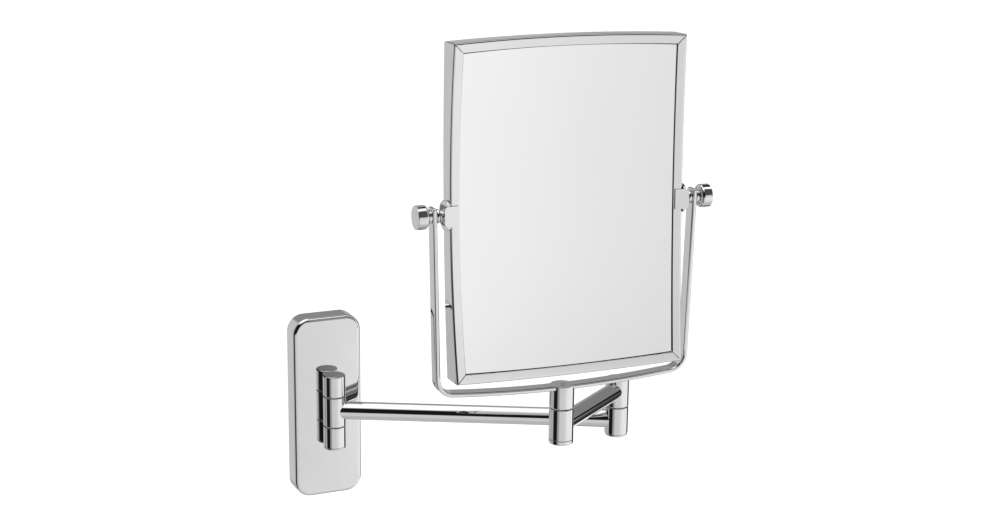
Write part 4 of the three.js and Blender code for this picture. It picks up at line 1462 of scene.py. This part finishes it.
@dataclass
class Studio:
    """A pale floor, a bright tent of soft panels and the camera.

    Attributes:
        place: where the camera stands, in metres.
        heading: its turn to the right of straight at the wall, in degrees.
        dip: how far it looks down, in degrees.
        roll: its tilt, in degrees.
        lens: its focal length in millimetres.
        floor_level: the floor's height, in metres.
        floor_size: the floor's width, in metres.
        panels: the tent, each panel painted over those before it.
        base: the tent's tone where no panel lies.
    """

    place: Vector = field(default_factory=lambda: Vector((-376.98, -1133.86, 409.2)) * MM)
    heading: float = 24.16
    dip: float = 14.64
    roll: float = 0.72
    lens: float = 66.49
    floor_level: float = -0.9
    floor_size: float = 60.0
    panels: tuple[SoftPanel, ...] = TENT
    base: float = 0.70

    def build(self) -> None:
        """Sets up the floor, the tent and the camera."""
        self.floor()
        self.tent()
        self.camera()

    def floor(self) -> None:
        """Lays a wide pale floor that only the camera and soft light meet."""
        select_only()
        bpy.ops.mesh.primitive_grid_add(
            x_subdivisions=4, y_subdivisions=4, size=self.floor_size,
            location=(0, 0, self.floor_level),
        )
        floor = bpy.context.active_object
        floor.name = "studio_floor"
        # Matt white paint, rolled: nearly even, with a broad faint mottle.
        paint, tree, place = new_material("rolled_matt_paint")
        cloud = add_node(tree, "ShaderNodeTexNoise", {
            "Vector": place, "Scale": per_mm(400), "Detail": 3.0,
        }).outputs[0]
        tone = add_node(tree, "ShaderNodeMix", {
            0: cloud, 6: linear("FBFBFB"), 7: linear("F6F6F6"),
        }, data_type="RGBA").outputs[2]
        end_in_shader(tree, {
            "Base Color": tone, "Roughness": 0.9, "Emission Color": tone,
            "Emission Strength": 0.6,
        })
        floor.data.materials.append(paint)
        floor.visible_glossy = False

    def tent(self) -> None:
        """Paints the tent's panels over one another, and shows the camera plain white."""
        world = bpy.data.worlds.new("light_tent")
        bpy.context.scene.world = world
        world.use_nodes = True
        tree = world.node_tree
        tree.nodes.clear()
        toward = add_node(tree, "ShaderNodeTexCoord").outputs["Generated"]
        height = add_node(tree, "ShaderNodeSeparateXYZ", {"Vector": toward}).outputs["Z"]
        level = add_node(
            tree, "ShaderNodeVectorMath", {0: toward, 1: (1, 1, 0)}, operation="MULTIPLY",
        ).outputs["Vector"]
        bearing = add_node(
            tree, "ShaderNodeVectorMath", {0: level}, operation="NORMALIZE",
        ).outputs["Vector"]
        tone: float | bpy.types.NodeSocket = self.base
        for panel in self.panels:
            cover = self.cover(tree, panel, bearing, height)
            tone = add_node(tree, "ShaderNodeMix", {0: cover, 2: tone, 3: panel.tone}).outputs[0]
        seen = add_node(tree, "ShaderNodeLightPath").outputs["Is Camera Ray"]
        shown = add_node(tree, "ShaderNodeMix", {0: seen, 2: tone, 3: 1.0}).outputs[0]
        light = add_node(tree, "ShaderNodeBackground", {"Color": shown, "Strength": 1.0})
        add_node(tree, "ShaderNodeOutputWorld", {"Surface": light.outputs["Background"]})
        bpy.context.scene.view_settings.view_transform = "Standard"

    def cover(
        self, tree: bpy.types.NodeTree, panel: SoftPanel, bearing: bpy.types.NodeSocket,
        height: bpy.types.NodeSocket,
    ) -> bpy.types.NodeSocket:
        """How much of a panel lies in each direction.

        Args:
            tree: the world's tree.
            panel: the panel.
            bearing: the level direction.
            height: the sine of the direction's elevation.

        Returns:
            A value from 0, outside it, to 1.
        """
        turn = math.radians(self.heading - (panel.start + panel.end) / 2)
        middle = (-math.sin(turn), -math.cos(turn), 0)
        across = add_node(
            tree, "ShaderNodeVectorMath", {0: bearing, 1: middle}, operation="DOT_PRODUCT",
        ).outputs["Value"]
        spread = (panel.end - panel.start) / 2
        far = math.radians(min(180, spread + panel.fade / 2))
        near = math.radians(max(0, spread - panel.fade / 2))
        masks = [(across, math.cos(far), math.cos(near))] if spread < 180 else []
        for edge, sign in ((panel.low, 1), (panel.high, -1)):
            if abs(edge) < 90:
                masks.append((
                    height, math.sin(math.radians(edge - sign * panel.blur / 2)),
                    math.sin(math.radians(edge + sign * panel.blur / 2)),
                ))
        cover: float | bpy.types.NodeSocket = 1.0
        for value, outside, inside in masks:
            part = add_node(tree, "ShaderNodeMapRange", {
                "Value": value, "From Min": outside, "From Max": inside,
            }, interpolation_type="SMOOTHSTEP").outputs["Result"]
            cover = add_node(
                tree, "ShaderNodeMath", {0: part, 1: cover}, operation="MULTIPLY",
            ).outputs["Value"]
        return cover

    def camera(self) -> None:
        """Sets the camera at the viewing angle, a long lens slightly above the mirror."""
        yaw, pitch, roll = (math.radians(a) for a in (self.heading, self.dip, self.roll))
        ahead = Vector((
            math.sin(yaw) * math.cos(pitch), math.cos(yaw) * math.cos(pitch), -math.sin(pitch),
        ))
        right = ahead.cross(Vector((0, 0, 1))).normalized()
        up = right.cross(ahead)
        rolled_right = right * math.cos(roll) + up * math.sin(roll)
        rolled_up = up * math.cos(roll) - right * math.sin(roll)
        lens = bpy.data.cameras.new("camera")
        lens.lens = self.lens
        lens.clip_start = 0.05
        lens.clip_end = 100
        camera = bpy.data.objects.new("camera", lens)
        bpy.context.collection.objects.link(camera)
        turn = Matrix((rolled_right, rolled_up, -ahead)).transposed()
        camera.matrix_world = Matrix.Translation(self.place) @ turn.to_4x4()
        bpy.context.scene.camera = camera


# ---------------------------------------------------------------- assembly


def main() -> None:
    """Builds every sub-assembly where the frame's joints put it, then the studio."""
    logging.basicConfig(level=logging.INFO, format="%(name)s: %(message)s")
    wall, elbow = joint_place("wall_hinge"), joint_place("elbow_hinge")
    post, pivot = joint_place("post_swivel"), joint_place("mirror_tilt")
    upright = [Vector((p.x, p.y, 0)) for p in (wall, elbow, post)]
    first_turn = Matrix.Rotation(facing(wall, elbow), 4, "Z")
    second_turn = Matrix.Rotation(facing(elbow, post), 4, "Z")
    axis = joint_axis("mirror_tilt")
    yoke_turn = Matrix.Rotation(math.atan2(axis.y, axis.x), 4, "Z")
    head = Matrix.Translation(pivot) @ yoke_turn @ turned(-MIRROR_TILT, "X")

    WallMount("wall_mount", Matrix.Translation(upright[0])).build()
    Arm("first_arm", Matrix.Translation(upright[0]) @ first_turn, prefix="first_arm",
        length=(upright[1] - upright[0]).length / MM, level=0.0,
        start=("first_arm_wall_knuckle", WALL_KNUCKLE), end=("elbow_lower_knuckle", KNUCKLE),
        cap="elbow_cap", cap_inset=0.45).build()
    Arm("second_arm", Matrix.Translation(upright[1]) @ second_turn, prefix="second_arm",
        length=(upright[2] - upright[1]).length / MM, level=ARM_RISE,
        start=("elbow_upper_knuckle", KNUCKLE), end=("post_knuckle", KNUCKLE),
        cap="post_cap", top_edge=0.6).build()
    Yoke("yoke", Matrix.Translation(upright[2]) @ yoke_turn).build()
    MirrorHead("mirror", head).build()
    for side in ("left", "right"):
        PivotKnob(f"{side}_knob", head, side=side).build()
    dress_frame_nodes()
    Studio().build()


if __name__ == "__main__":
    main()
